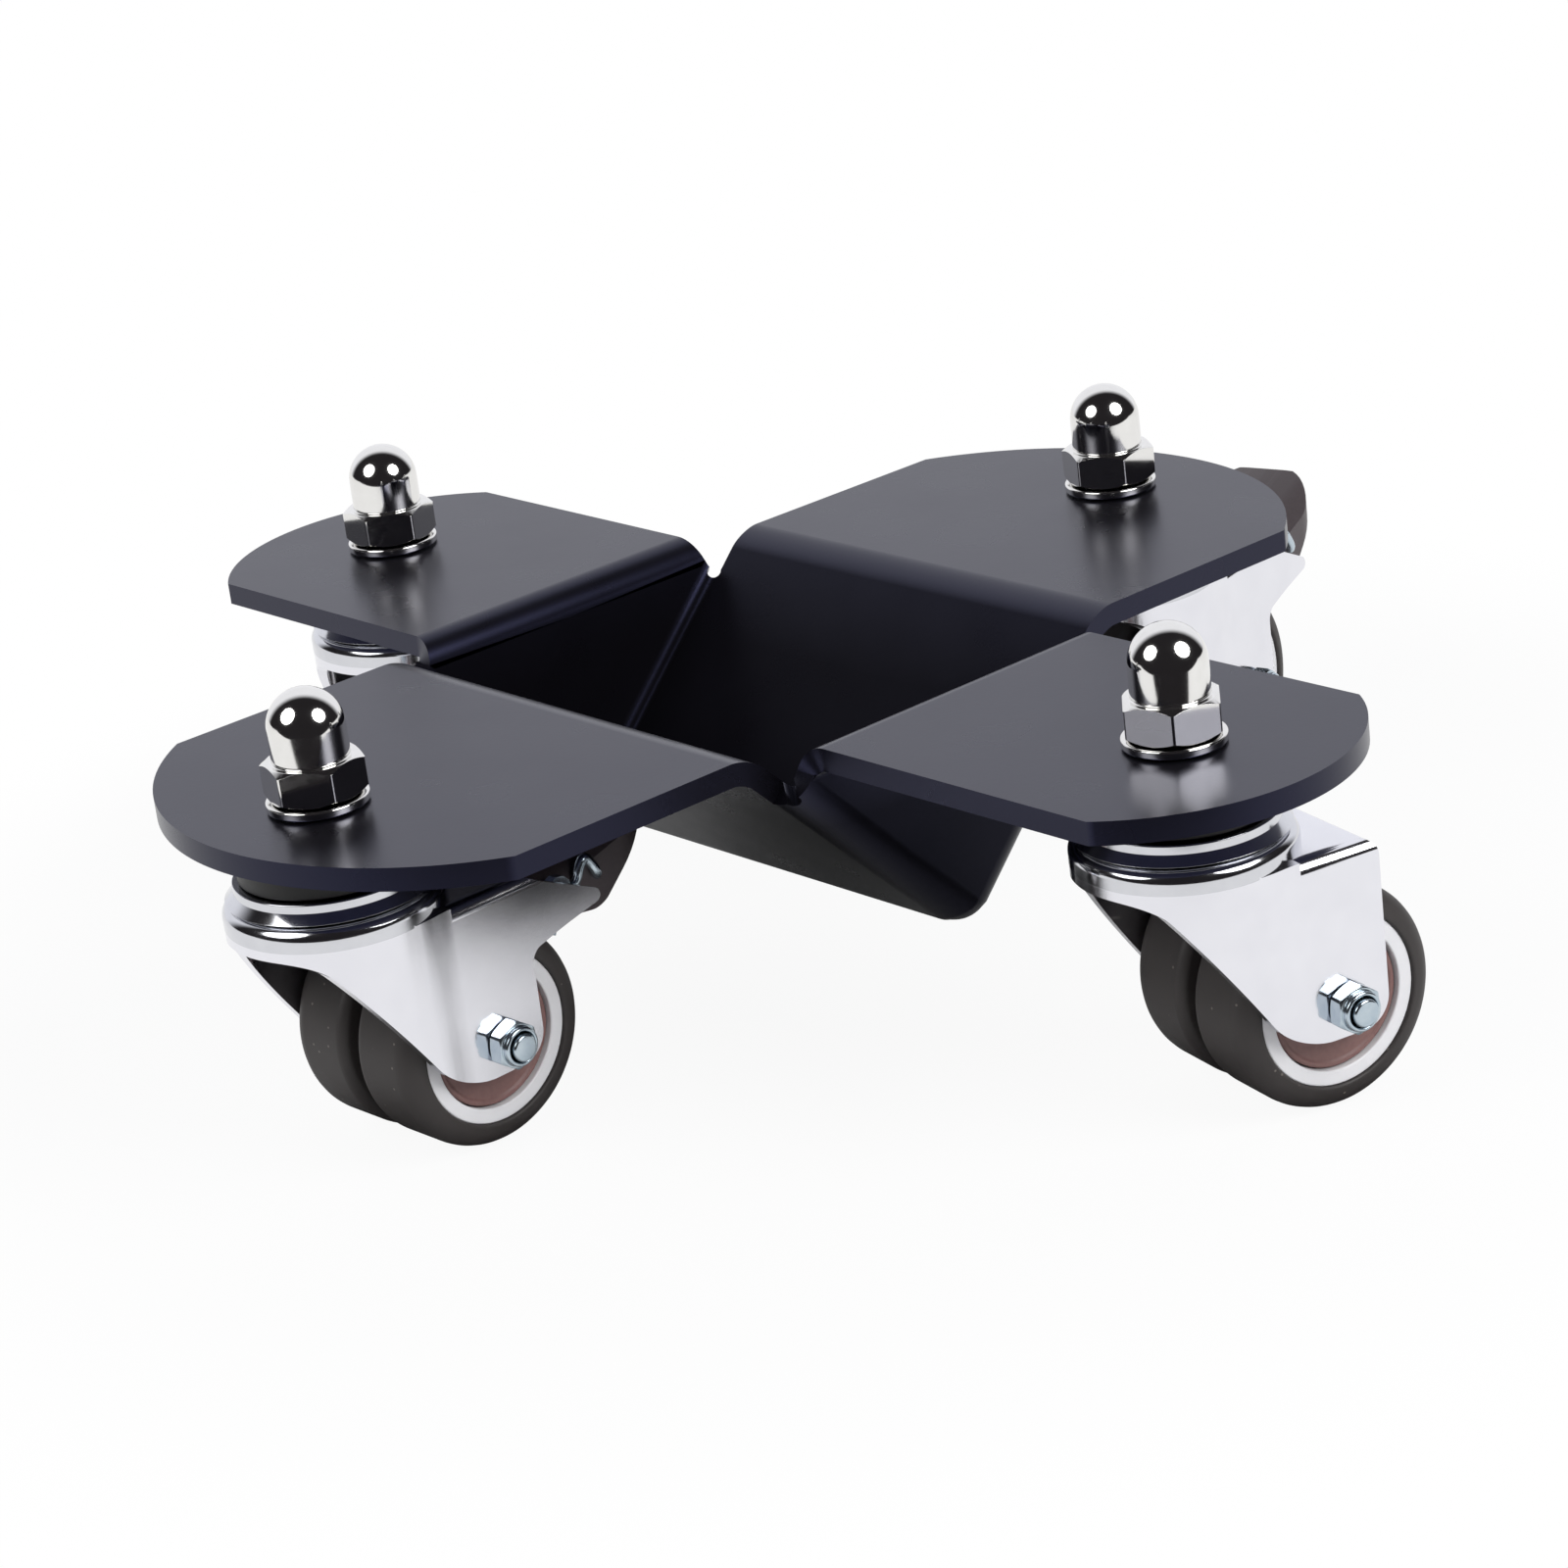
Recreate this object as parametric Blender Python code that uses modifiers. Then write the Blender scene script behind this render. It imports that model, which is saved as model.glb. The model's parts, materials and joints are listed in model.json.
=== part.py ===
"""Wheel dolly: a folded steel cradle plate on swivel casters, two of them with a brake.

The trough runs along X. The side ears reach along Y, the end ears along X.
A caster has its own frame: X along the axle, Y the way the wheel trails, Z up from the floor.
"""

import math

import bmesh
import bpy
from mathutils import Vector

# Cradle plate, in metres
SHEET = 0.0042
TROUGH_DEPTH = 0.0424
NOTCH_DEPTH = 0.007
SIDE_EAR_WIDTH = 0.098
SIDE_EAR_LENGTH = 0.0508
SIDE_EAR_BOW = 0.0261
SIDE_STEM_OFFSET = 0.0548
END_WALL_STEP = 0.0028
END_EAR_WIDTH = 0.066
END_EAR_LENGTH = 0.0677
END_EAR_BOW = 0.0177
END_STEM_OFFSET = 0.0562
SIDE_BEND = 0.010
END_BEND = 0.0055
VALLEY_BEND = 0.004
CORNER_BEND = 0.0024
RELIEF_RADIUS = 0.0013
BEND_STEPS = 4
BOW_STEPS = 8

# Cap nut, washer and stem
STEM_RADIUS = 0.005
NUT_FLATS = 0.016
NUT_HEX_HEIGHT = 0.0066
NUT_HEIGHT = 0.019
NUT_CHAMFER = 0.0007
NECK_RADIUS = 0.0075
DOME_RADIUS = 0.00685
WASHER_RADIUS = 0.009
WASHER_THICKNESS = 0.0016
RIVET_RADIUS = 0.0075
RIVET_END_RADIUS = 0.006
RIVET_HEIGHT = 0.0025

# Swivel head
SPACER_RADIUS = 0.0158
SPACER_HEIGHT = 0.0072
CUP_TOP_RADIUS = 0.017
CUP_RADIUS = 0.0185
CUP_EDGE = 0.0014
CUP_HEIGHT = 0.0032
CUP_SHEET = 0.0018
BALL_RADIUS = 0.0017
BALL_CIRCLE = 0.0124
BALL_COUNT = 8
CAGE_WIDTH = 0.0036
CAGE_THICKNESS = 0.0009

# Wheel
WHEEL_RADIUS = 0.020
WHEEL_WIDTH = 0.0326
TYRE_WALL = 0.0045
TYRE_SHOULDER = 0.0038
TYRE_GROOVE_WIDTH = 0.0026
TYRE_GROOVE_DEPTH = 0.0034
TYRE_GROOVE_LIP = 0.003
RIM_WALL = 0.0027
RIM_SET_BACK = 0.0005
HUB_RECESS = 0.0014
HUB_FLANGE = 0.0032
HUB_WAIST_RADIUS = 0.0085
SLEEVE_RADIUS = 0.0041
AXLE_RADIUS = 0.0025
AXLE_NUT_FLATS = 0.008
AXLE_NUT_HEX_HEIGHT = 0.003
AXLE_NUT_COLLAR = 0.0012
AXLE_NUT_COLLAR_RADIUS = 0.0036
AXLE_NUT_CHAMFER = 0.0004
AXLE_HEAD_HEIGHT = 0.0035
AXLE_END = 0.0009

# Fork
FORK_SHEET = 0.002
FORK_SIDE_GAP = 0.0005
FORK_TRAIL = 0.0175
FORK_RISE = 0.0278
CROWN_FLOOR_HEIGHT = 0.0012
CROWN_RIM_HEIGHT = 0.0034
CROWN_RIM_INSET = 0.0002
RACE_CLEARANCE = 0.0006
CHEEK_LEAD = 0.0152
CHEEK_TOE = 0.0108
CHEEK_DROP = 0.0057
CHEEK_BACK = 0.0084
CHEEK_TOP_ROUND = 0.0077
CHEEK_TOE_ROUND = 0.015
CHEEK_HEEL_ROUND = 0.0055
SHELF_ROUND = 0.003

# Brake
PIVOT_CLEARANCE = 0.0075
PIVOT_ANGLE = math.radians(44.3)
BRAKE_TRAVEL = math.radians(20)
PIN_RADIUS = 0.0018
BRACKET_TAIL = 0.0063
BRACKET_KNEE = 0.003
BRACKET_ABOVE = 0.0056
BRACKET_BELOW = 0.0055
BRACKET_ROUND = 0.0016
PEDAL_WIDTH = 0.0236
PEDAL_REACH = 0.0273
PEDAL_RISE = 0.0121
PEDAL_TIP = 0.0016
PEDAL_ROOT_RISE = 0.004
PEDAL_HEEL_BACK = 0.0105
PEDAL_HEEL_DROP = 0.0064
PEDAL_HEEL_ROUND = 0.003
PEDAL_EDGE_ROUND = 0.0015
PEDAL_CORNER = 0.006
PEDAL_FLAT = 0.005
PEDAL_SHOULDER_INSET = 0.0024
PEDAL_SHOULDER_DROP = 0.0017
PEDAL_SIDE_DROP = 0.0048
PEDAL_CROWN_ROUND = 0.006
SHOE_SHEET = 0.0022
SHOE_LEAST_GAP = 0.0004
SHOE_BAR = 0.0022
SHOE_EYE_WALL = 0.0014
SHOE_EDGE_STEP = 0.0002

# Clearances, the margin by which a cutter passes what it cuts, and the part of a side that an arc may take
FIT_GAP = 0.0003
RUN_GAP = 0.0003
MARGIN = 0.002
WELD = 0.000005
ROUND_SHARE = 0.48

# Sides of the turned pieces
TYRE_SIDES = 24
WIDE_SIDES = 20
NARROW_SIDES = 12
ROUND_STEPS = 3

# Casters: way from the trough to the ear, heading, turn of the cap nut's hexagon, brake
CASTERS = {
    "front": ((0, -1), 2.1, 14.6, True),
    "right": ((1, 0), -12.5, 44.5, False),
    "back": ((0, 1), 14.4, 4.2, True),
    "left": ((-1, 0), 12.0, 24.0, False),
}

# What follows from the sizes above
trough_end = SIDE_EAR_WIDTH / 2 + END_WALL_STEP
end_ear_half = END_EAR_WIDTH / 2
notch_half = TROUGH_DEPTH - NOTCH_DEPTH
side_ear_tip = TROUGH_DEPTH + SIDE_EAR_LENGTH + SIDE_EAR_BOW
side_stem = TROUGH_DEPTH + SIDE_STEM_OFFSET
end_stem = trough_end + END_STEM_OFFSET

axle_height = WHEEL_RADIUS
shelf_top = axle_height + FORK_RISE
crown_under = shelf_top - FORK_SHEET
crown_floor = shelf_top + CROWN_FLOOR_HEIGHT
crown_rim_top = shelf_top + CROWN_RIM_HEIGHT
race_radius = BALL_CIRCLE + CAGE_WIDTH / 2 + RACE_CLEARANCE
ball_height = crown_floor + FIT_GAP + BALL_RADIUS
cup_under = ball_height + BALL_RADIUS + FIT_GAP
cup_top = cup_under + CUP_SHEET
spacer_under = cup_top + FIT_GAP
plate_under = spacer_under + SPACER_HEIGHT + FIT_GAP
plate_top = plate_under + SHEET
washer_under = plate_top + FIT_GAP
nut_under = washer_under + WASHER_THICKNESS + FIT_GAP
nut_bore_depth = NUT_HEIGHT - DOME_RADIUS
stem_bore = STEM_RADIUS + FIT_GAP

wheel_half = WHEEL_WIDTH / 2
fork_inner = wheel_half + FORK_SIDE_GAP
fork_outer = fork_inner + FORK_SHEET
cheek_bottom = axle_height - CHEEK_DROP
cheek_rear = FORK_TRAIL + CHEEK_BACK
axle_bore = AXLE_RADIUS + FIT_GAP
rim_radius = WHEEL_RADIUS - TYRE_WALL
rim_bore = rim_radius - RIM_WALL
hub_half = wheel_half - HUB_RECESS

pivot_radius = WHEEL_RADIUS + PIVOT_CLEARANCE
pivot_back = FORK_TRAIL + pivot_radius * math.cos(PIVOT_ANGLE)
pivot_height = axle_height + pivot_radius * math.sin(PIVOT_ANGLE)
pin_bore = PIN_RADIUS + FIT_GAP
shoe_reach = PIVOT_CLEARANCE - SHOE_LEAST_GAP
bracket_end = pivot_back + BRACKET_TAIL

SIDEWAYS = (math.radians(90), 0, math.radians(90))
ALONG_AXLE = (0, math.radians(90), 0)


# Scene, collections and materials


for thing in list(bpy.data.objects):
    bpy.data.objects.remove(thing, do_unlink=True)

parts = bpy.data.collections.new("wheel_dolly")
cutters = bpy.data.collections.new("wheel_dolly_cutters")
bpy.context.scene.collection.children.link(parts)
bpy.context.scene.collection.children.link(cutters)


def material(name, colour, roughness, metallic):
    made = bpy.data.materials.new(name)
    made.use_nodes = True
    shader = made.node_tree.nodes["Principled BSDF"]
    shader.inputs["Base Color"].default_value = (*colour, 1)
    shader.inputs["Roughness"].default_value = roughness
    shader.inputs["Metallic"].default_value = metallic
    return made


POWDER_COAT = material("black_powder_coat", (0.012, 0.012, 0.015), 0.38, 0.0)
STAINLESS = material("polished_stainless", (0.62, 0.62, 0.63), 0.1, 1.0)
CHROME = material("plated_steel", (0.72, 0.72, 0.74), 0.16, 1.0)
ZINC = material("zinc_steel", (0.5, 0.53, 0.58), 0.3, 1.0)
BLACK_PLASTIC = material("black_plastic", (0.015, 0.015, 0.016), 0.5, 0.0)
TYRE_RUBBER = material("dark_taupe_rubber", (0.045, 0.042, 0.04), 0.55, 0.0)
WHITE_PLASTIC = material("white_plastic", (0.78, 0.78, 0.76), 0.45, 0.0)
BROWN_PLASTIC = material("brown_plastic", (0.16, 0.09, 0.07), 0.5, 0.0)
TAUPE_PLASTIC = material("taupe_plastic", (0.11, 0.09, 0.085), 0.5, 0.0)


# Modelling helpers


def rounded(corners):
    """The outline through (u, v, radius) corners, each rounded by an arc that its sides have room for."""
    outline = []
    for index, (u, v, radius) in enumerate(corners):
        here = Vector((u, v))
        back = Vector(corners[index - 1][:2]) - here
        ahead = Vector(corners[(index + 1) % len(corners)][:2]) - here
        if radius == 0:
            outline.append(here)
            continue
        opening = back.angle(ahead)
        room = ROUND_SHARE * min(back.length, ahead.length)
        reach = min(radius / math.tan(opening / 2), room)
        radius = reach * math.tan(opening / 2)
        inward = (back.normalized() + ahead.normalized()).normalized()
        middle = here + inward * math.hypot(reach, radius)
        start = here + back.normalized() * reach - middle
        turn = start.angle_signed(here + ahead.normalized() * reach - middle)
        for step in range(ROUND_STEPS + 1):
            angle = -turn * step / ROUND_STEPS
            swung = (
                start.x * math.cos(angle) - start.y * math.sin(angle),
                start.x * math.sin(angle) + start.y * math.cos(angle),
            )
            outline.append(middle + Vector(swung))
    return outline


def arc(middle, radius, first, last, steps):
    """Points of a round stretch from one angle to another, in degrees."""
    angles = [math.radians(first + (last - first) * step / steps) for step in range(steps + 1)]
    return [(middle[0] + radius * math.cos(a), middle[1] + radius * math.sin(a)) for a in angles]


def evaluated_mesh(thing):
    bpy.context.view_layer.update()
    depsgraph = bpy.context.evaluated_depsgraph_get()
    return bpy.data.meshes.new_from_object(thing.evaluated_get(depsgraph))


def new_body(name, mesh):
    body = bpy.data.objects.new(name, mesh)
    cutters.objects.link(body)
    body.hide_render = True
    body.display_type = "WIRE"
    return body


def prism(outline, thickness, middle=(0, 0, 0), turn=(0, 0, 0)):
    """A flat outline given a thickness, with the middle of that thickness at a place."""
    curve = bpy.data.curves.new("outline", "CURVE")
    curve.dimensions = "2D"
    curve.fill_mode = "BOTH"
    curve.extrude = thickness / 2
    spline = curve.splines.new("POLY")
    spline.points.add(len(outline) - 1)
    for point, (u, v) in zip(spline.points, outline):
        point.co = (u, v, 0, 1)
    spline.use_cyclic_u = True
    flat = bpy.data.objects.new("outline", curve)
    flat.location = middle
    flat.rotation_euler = turn
    cutters.objects.link(flat)
    mesh = evaluated_mesh(flat)
    welded = bmesh.new()
    welded.from_mesh(mesh)
    bmesh.ops.remove_doubles(welded, verts=welded.verts, dist=WELD)
    bmesh.ops.recalc_face_normals(welded, faces=welded.faces)
    welded.to_mesh(mesh)
    welded.free()
    body = new_body("prism", mesh)
    body.matrix_world = flat.matrix_world
    bpy.data.objects.remove(flat)
    return body


def turned(profile, sides, closed=True):
    """A (radius, height) profile turned round Z: down the outer side, then up the bore if it is closed."""
    mesh = bpy.data.meshes.new("profile")
    edges = [(index, index + 1) for index in range(len(profile) - 1)]
    if closed:
        edges.append((len(profile) - 1, 0))
    mesh.from_pydata([(radius, 0, height) for radius, height in profile], edges, [])
    body = new_body("turned", mesh)
    screw = body.modifiers.new("turn", "SCREW")
    screw.steps = sides
    screw.render_steps = sides
    screw.use_merge_vertices = True
    screw.merge_threshold = WELD
    return body


def ring(outer, bore, bottom, top, sides):
    return turned([(outer, top), (outer, bottom), (bore, bottom), (bore, top)], sides)


def rod(radius, bottom, top, sides, middle=(0, 0, 0), turn=(0, 0, 0)):
    """A cylinder along its own Z, from bottom to top."""
    made = bmesh.new()
    bmesh.ops.create_cone(
        made, cap_ends=True, segments=sides, radius1=radius, radius2=radius, depth=top - bottom
    )
    bmesh.ops.translate(made, verts=made.verts, vec=(0, 0, (top + bottom) / 2))
    mesh = bpy.data.meshes.new("rod")
    made.to_mesh(mesh)
    made.free()
    body = new_body("rod", mesh)
    body.location = middle
    body.rotation_euler = turn
    return body


def combine(body, other, operation):
    boolean = body.modifiers.new(operation.lower(), "BOOLEAN")
    boolean.operation = operation
    boolean.object = other


def finished(body, name, look):
    """The body's mesh in its frame, with its modifiers worked in, its material and its shading."""
    mesh = evaluated_mesh(body)
    mesh.transform(body.matrix_world)
    mesh.name = name
    mesh.materials.clear()
    mesh.materials.append(look)
    mesh.shade_smooth()
    mesh.set_sharp_from_angle(angle=math.radians(32))
    for modifier in body.modifiers:
        if modifier.type == "BOOLEAN":
            bpy.data.objects.remove(modifier.object)
    bpy.data.objects.remove(body)
    return mesh


# Cradle plate


def bow(half_width, shoulder, sagitta, steps):
    """The rounded end of an ear, from its straight side to the middle of its tip, as (across, out)."""
    radius = (half_width**2 + sagitta**2) / (2 * sagitta)
    middle = shoulder + sagitta - radius
    half_angle = math.asin(half_width / radius)
    angles = [half_angle * (1 - step / steps) for step in range(steps + 1)]
    return [(radius * math.sin(a), middle + radius * math.cos(a)) for a in angles]


def cradle_quarter():
    """One quarter of the sheet's upper side as flat panels, and how far each fold's bend reaches."""
    side_half = SIDE_EAR_WIDTH / 2
    valley = (0, 0, -TROUGH_DEPTH)
    valley_end = (trough_end, 0, -TROUGH_DEPTH)
    notch_outer = (trough_end, notch_half, -NOTCH_DEPTH)
    notch_inner = (side_half, notch_half, -NOTCH_DEPTH)
    side_fold_end = (side_half, TROUGH_DEPTH, 0)
    side_fold = (0, TROUGH_DEPTH, 0)
    end_fold = (trough_end, 0, 0)
    end_fold_end = (trough_end, end_ear_half, 0)
    side_bow = bow(side_half, TROUGH_DEPTH + SIDE_EAR_LENGTH, SIDE_EAR_BOW, BOW_STEPS)
    end_bow = bow(end_ear_half, trough_end + END_EAR_LENGTH, END_EAR_BOW, BOW_STEPS)
    panels = [
        [valley, valley_end, notch_outer, notch_inner, side_fold_end, side_fold],
        [side_fold, side_fold_end] + [(across, out, 0) for across, out in side_bow],
        [valley_end, end_fold, end_fold_end, notch_outer],
        [end_fold] + [(out, across, 0) for across, out in reversed(end_bow)] + [end_fold_end],
    ]
    end_room = NOTCH_DEPTH - RELIEF_RADIUS
    corner_room = END_WALL_STEP - FIT_GAP
    folds = [
        (side_fold, side_fold_end, SIDE_BEND * math.tan(math.radians(45 / 2))),
        (valley, valley_end, VALLEY_BEND),
        (end_fold, end_fold_end, min(END_BEND, end_room)),
        (valley_end, notch_outer, min(CORNER_BEND, corner_room)),
    ]
    return panels, folds


def cradle_plate():
    panels, folds = cradle_quarter()
    widest = max(reach for _, _, reach in folds)
    sheet = bmesh.new()
    corners = {}
    for panel in panels:
        for place in panel:
            if place not in corners:
                corners[place] = sheet.verts.new(place)
        sheet.faces.new([corners[place] for place in panel])
    weight = sheet.edges.layers.float.new("bevel_weight_edge")
    for first, last, reach in folds:
        sheet.edges.get((corners[first], corners[last]))[weight] = reach / widest
    mesh = bpy.data.meshes.new("cradle_sheet")
    sheet.to_mesh(mesh)
    sheet.free()
    body = new_body("cradle_sheet", mesh)

    mirror = body.modifiers.new("quarters", "MIRROR")
    mirror.use_axis = (True, True, False)
    mirror.merge_threshold = WELD
    bend = body.modifiers.new("folds", "BEVEL")
    bend.limit_method = "WEIGHT"
    bend.width = widest
    bend.segments = BEND_STEPS
    bend.use_clamp_overlap = False
    shell = body.modifiers.new("sheet", "SOLIDIFY")
    shell.thickness = SHEET
    shell.offset = -1
    shell.use_even_offset = True

    for across in (-1, 1):
        for along in (-1, 1):
            relief = rod(RELIEF_RADIUS, -SHEET - MARGIN, SHEET + MARGIN, NARROW_SIDES)
            relief.location = (
                across * (trough_end - CORNER_BEND / 2),
                along * notch_half,
                -NOTCH_DEPTH,
            )
            out = Vector((across * math.sqrt(2), along, -1))
            relief.rotation_euler = out.to_track_quat("Z", "Y").to_euler()
            combine(body, relief, "DIFFERENCE")
    for x, y in [(0, side_stem), (0, -side_stem), (end_stem, 0), (-end_stem, 0)]:
        hole = rod(stem_bore, -SHEET - MARGIN, MARGIN, NARROW_SIDES, (x, y, 0))
        combine(body, hole, "DIFFERENCE")
    return finished(body, "cradle_plate", POWDER_COAT)


# Cap nut, washer, stem and swivel head


def hexagonal(blank, flats, bottom, top):
    """A turned blank cut to a hexagon."""
    corner_radius = flats / math.sqrt(3)
    combine(blank, rod(corner_radius, bottom - MARGIN, top + MARGIN, 6), "INTERSECT")
    return blank


def dome_nut():
    corner = NUT_FLATS / math.sqrt(3)
    face = corner - 2 * NUT_CHAMFER
    neck_top = NUT_HEIGHT - DOME_RADIUS
    dome = arc((0, neck_top), DOME_RADIUS, 90, 0, 5)
    profile = [(0, dome[0][1])] + dome[1:] + [
        (NECK_RADIUS, NUT_HEX_HEIGHT),
        (face, NUT_HEX_HEIGHT),
        (corner, NUT_HEX_HEIGHT - NUT_CHAMFER),
        (corner, NUT_CHAMFER),
        (face, 0),
        (stem_bore, 0),
        (stem_bore, nut_bore_depth),
        (0, nut_bore_depth),
    ]
    blank = turned(profile, WIDE_SIDES, closed=False)
    return finished(hexagonal(blank, NUT_FLATS, 0, NUT_HEIGHT), "dome_nut", STAINLESS)


def washer():
    body = ring(WASHER_RADIUS, stem_bore, washer_under, washer_under + WASHER_THICKNESS, WIDE_SIDES)
    return finished(body, "washer", STAINLESS)


def stem():
    top = nut_under + nut_bore_depth - FIT_GAP
    rivet_top = crown_under - RUN_GAP
    profile = [
        (0, top),
        (STEM_RADIUS, top),
        (STEM_RADIUS, rivet_top),
        (RIVET_RADIUS, rivet_top),
        (RIVET_END_RADIUS, rivet_top - RIVET_HEIGHT),
        (0, rivet_top - RIVET_HEIGHT),
    ]
    return finished(turned(profile, NARROW_SIDES, closed=False), "stem", ZINC)


def spacer():
    body = ring(SPACER_RADIUS, stem_bore, spacer_under, spacer_under + SPACER_HEIGHT, WIDE_SIDES)
    return finished(body, "spacer", BLACK_PLASTIC)


def swivel_cup():
    profile = [
        (CUP_TOP_RADIUS, cup_top),
        (CUP_TOP_RADIUS, cup_top - CUP_EDGE),
        (CUP_RADIUS, cup_top - CUP_HEIGHT),
        (CUP_RADIUS - CUP_SHEET, cup_top - CUP_HEIGHT),
        (CUP_TOP_RADIUS - CUP_SHEET, cup_under),
        (stem_bore, cup_under),
        (stem_bore, cup_top),
    ]
    return finished(turned(profile, WIDE_SIDES), "swivel_cup", CHROME)


def ball_race():
    """A cage ring with its balls."""
    made = bmesh.new()
    for index in range(BALL_COUNT):
        angle = 2 * math.pi * index / BALL_COUNT
        place = (BALL_CIRCLE * math.cos(angle), BALL_CIRCLE * math.sin(angle), ball_height)
        ball = bmesh.ops.create_uvsphere(made, u_segments=6, v_segments=4, radius=BALL_RADIUS)
        bmesh.ops.translate(made, verts=ball["verts"], vec=place)
    mesh = bpy.data.meshes.new("balls")
    made.to_mesh(mesh)
    made.free()
    cage = ring(
        BALL_CIRCLE + CAGE_WIDTH / 2,
        BALL_CIRCLE - CAGE_WIDTH / 2,
        ball_height - CAGE_THICKNESS / 2,
        ball_height + CAGE_THICKNESS / 2,
        WIDE_SIDES,
    )
    combine(cage, new_body("balls", mesh), "UNION")
    return finished(cage, "ball_race", ZINC)


# Fork


def cheek_outline(braked):
    """The fork from the side, as (back, up), with the brake's bracket behind it if it has one."""
    front = -fork_outer - MARGIN
    corners = [
        (front, shelf_top, 0),
        (front, crown_under, 0),
        (-CHEEK_LEAD, crown_under, CHEEK_TOP_ROUND),
        (FORK_TRAIL - CHEEK_TOE, cheek_bottom, CHEEK_TOE_ROUND),
        (cheek_rear, cheek_bottom, CHEEK_HEEL_ROUND),
    ]
    if not braked:
        return rounded(corners + [(cheek_rear, shelf_top, SHELF_ROUND)])
    bracket_low = pivot_height - BRACKET_BELOW
    return rounded(
        corners
        + [
            (cheek_rear, bracket_low - BRACKET_ROUND, SHELF_ROUND),
            (pivot_back - BRACKET_KNEE, bracket_low, SHELF_ROUND),
            (bracket_end, pivot_height - 2 * BRACKET_ROUND, BRACKET_ROUND),
            (bracket_end, pivot_height, BRACKET_ROUND),
            (pivot_back - BRACKET_ABOVE, pivot_height + BRACKET_ABOVE, SHELF_ROUND),
            (cheek_rear, shelf_top, SHELF_ROUND),
        ]
    )


def plan_outline(radius, rear):
    """The fork from above: round in front of the stem, straight behind it."""
    return arc((0, 0), radius, 180, 360, 12) + [(radius, rear), (-radius, rear)]


def fork(braked):
    rear = bracket_end + MARGIN
    body = prism(cheek_outline(braked), 2 * fork_outer, (0, 0, 0), SIDEWAYS)
    height = shelf_top + MARGIN
    combine(body, prism(plan_outline(fork_outer, rear), height, (0, 0, height / 2)), "INTERSECT")
    hollow = prism(plan_outline(fork_inner, rear + MARGIN), crown_under, (0, 0, crown_under / 2))
    combine(body, hollow, "DIFFERENCE")
    crown_radius = fork_outer - CROWN_RIM_INSET
    combine(body, rod(crown_radius, shelf_top - FORK_SHEET / 2, crown_rim_top, WIDE_SIDES), "UNION")
    combine(body, rod(race_radius, crown_floor, crown_rim_top + MARGIN, WIDE_SIDES), "DIFFERENCE")
    combine(body, rod(stem_bore, crown_under - MARGIN, crown_rim_top + MARGIN, NARROW_SIDES), "DIFFERENCE")
    across = fork_outer + MARGIN
    axle_place = (0, FORK_TRAIL, axle_height)
    combine(body, rod(axle_bore, -across, across, NARROW_SIDES, axle_place, ALONG_AXLE), "DIFFERENCE")
    if braked:
        pin_place = (0, pivot_back, pivot_height)
        combine(body, rod(pin_bore, -across, across, NARROW_SIDES, pin_place, ALONG_AXLE), "DIFFERENCE")
    return finished(body, "braked_fork" if braked else "fork", CHROME)


# Axle and wheel, turned round the axle


def axle_bolt():
    seat = fork_outer + FIT_GAP
    nut_end = seat + AXLE_NUT_HEX_HEIGHT + AXLE_NUT_COLLAR
    body = rod(AXLE_RADIUS, -seat - AXLE_HEAD_HEIGHT / 2, nut_end + AXLE_END, NARROW_SIDES)
    head = rod(AXLE_NUT_FLATS / math.sqrt(3), -seat - AXLE_HEAD_HEIGHT, -seat, 6)
    combine(body, head, "UNION")
    return finished(body, "axle_bolt", ZINC)


def axle_nut():
    corner = AXLE_NUT_FLATS / math.sqrt(3)
    face = corner - 2 * AXLE_NUT_CHAMFER
    seat = fork_outer + FIT_GAP
    hex_top = seat + AXLE_NUT_HEX_HEIGHT
    top = hex_top + AXLE_NUT_COLLAR
    profile = [
        (AXLE_NUT_COLLAR_RADIUS - AXLE_NUT_CHAMFER, top),
        (AXLE_NUT_COLLAR_RADIUS, top - AXLE_NUT_CHAMFER),
        (AXLE_NUT_COLLAR_RADIUS, hex_top),
        (corner, hex_top - AXLE_NUT_CHAMFER),
        (corner, seat + AXLE_NUT_CHAMFER),
        (face, seat),
        (axle_bore, seat),
        (axle_bore, top),
    ]
    blank = turned(profile, NARROW_SIDES)
    return finished(hexagonal(blank, AXLE_NUT_FLATS, seat, top), "axle_nut", ZINC)


def axle_sleeve():
    half = fork_inner - FIT_GAP
    return finished(ring(SLEEVE_RADIUS, axle_bore, -half, half, NARROW_SIDES), "axle_sleeve", ZINC)


def mirrored(half_profile):
    """A profile down the outer side from a half that ends short of the middle plane."""
    return half_profile + [(radius, -height) for radius, height in reversed(half_profile)]


def tyre():
    bore = rim_radius + FIT_GAP
    groove_half = TYRE_GROOVE_WIDTH / 2
    room = WHEEL_RADIUS - bore - FIT_GAP
    shoulder = min(TYRE_SHOULDER, room)
    lip = min(TYRE_GROOVE_LIP, TYRE_GROOVE_DEPTH - FIT_GAP, room - FIT_GAP)
    outer_middle = (WHEEL_RADIUS - shoulder, wheel_half - shoulder)
    inner_middle = (WHEEL_RADIUS - lip, groove_half + lip)
    half = arc(outer_middle, shoulder, 90, 0, ROUND_STEPS) + arc(inner_middle, lip, 0, -90, ROUND_STEPS)
    half.append((WHEEL_RADIUS - min(TYRE_GROOVE_DEPTH, room), groove_half))
    profile = mirrored(half) + [(bore, -wheel_half), (bore, wheel_half)]
    return finished(turned(profile, TYRE_SIDES), "tyre", TYRE_RUBBER)


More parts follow.
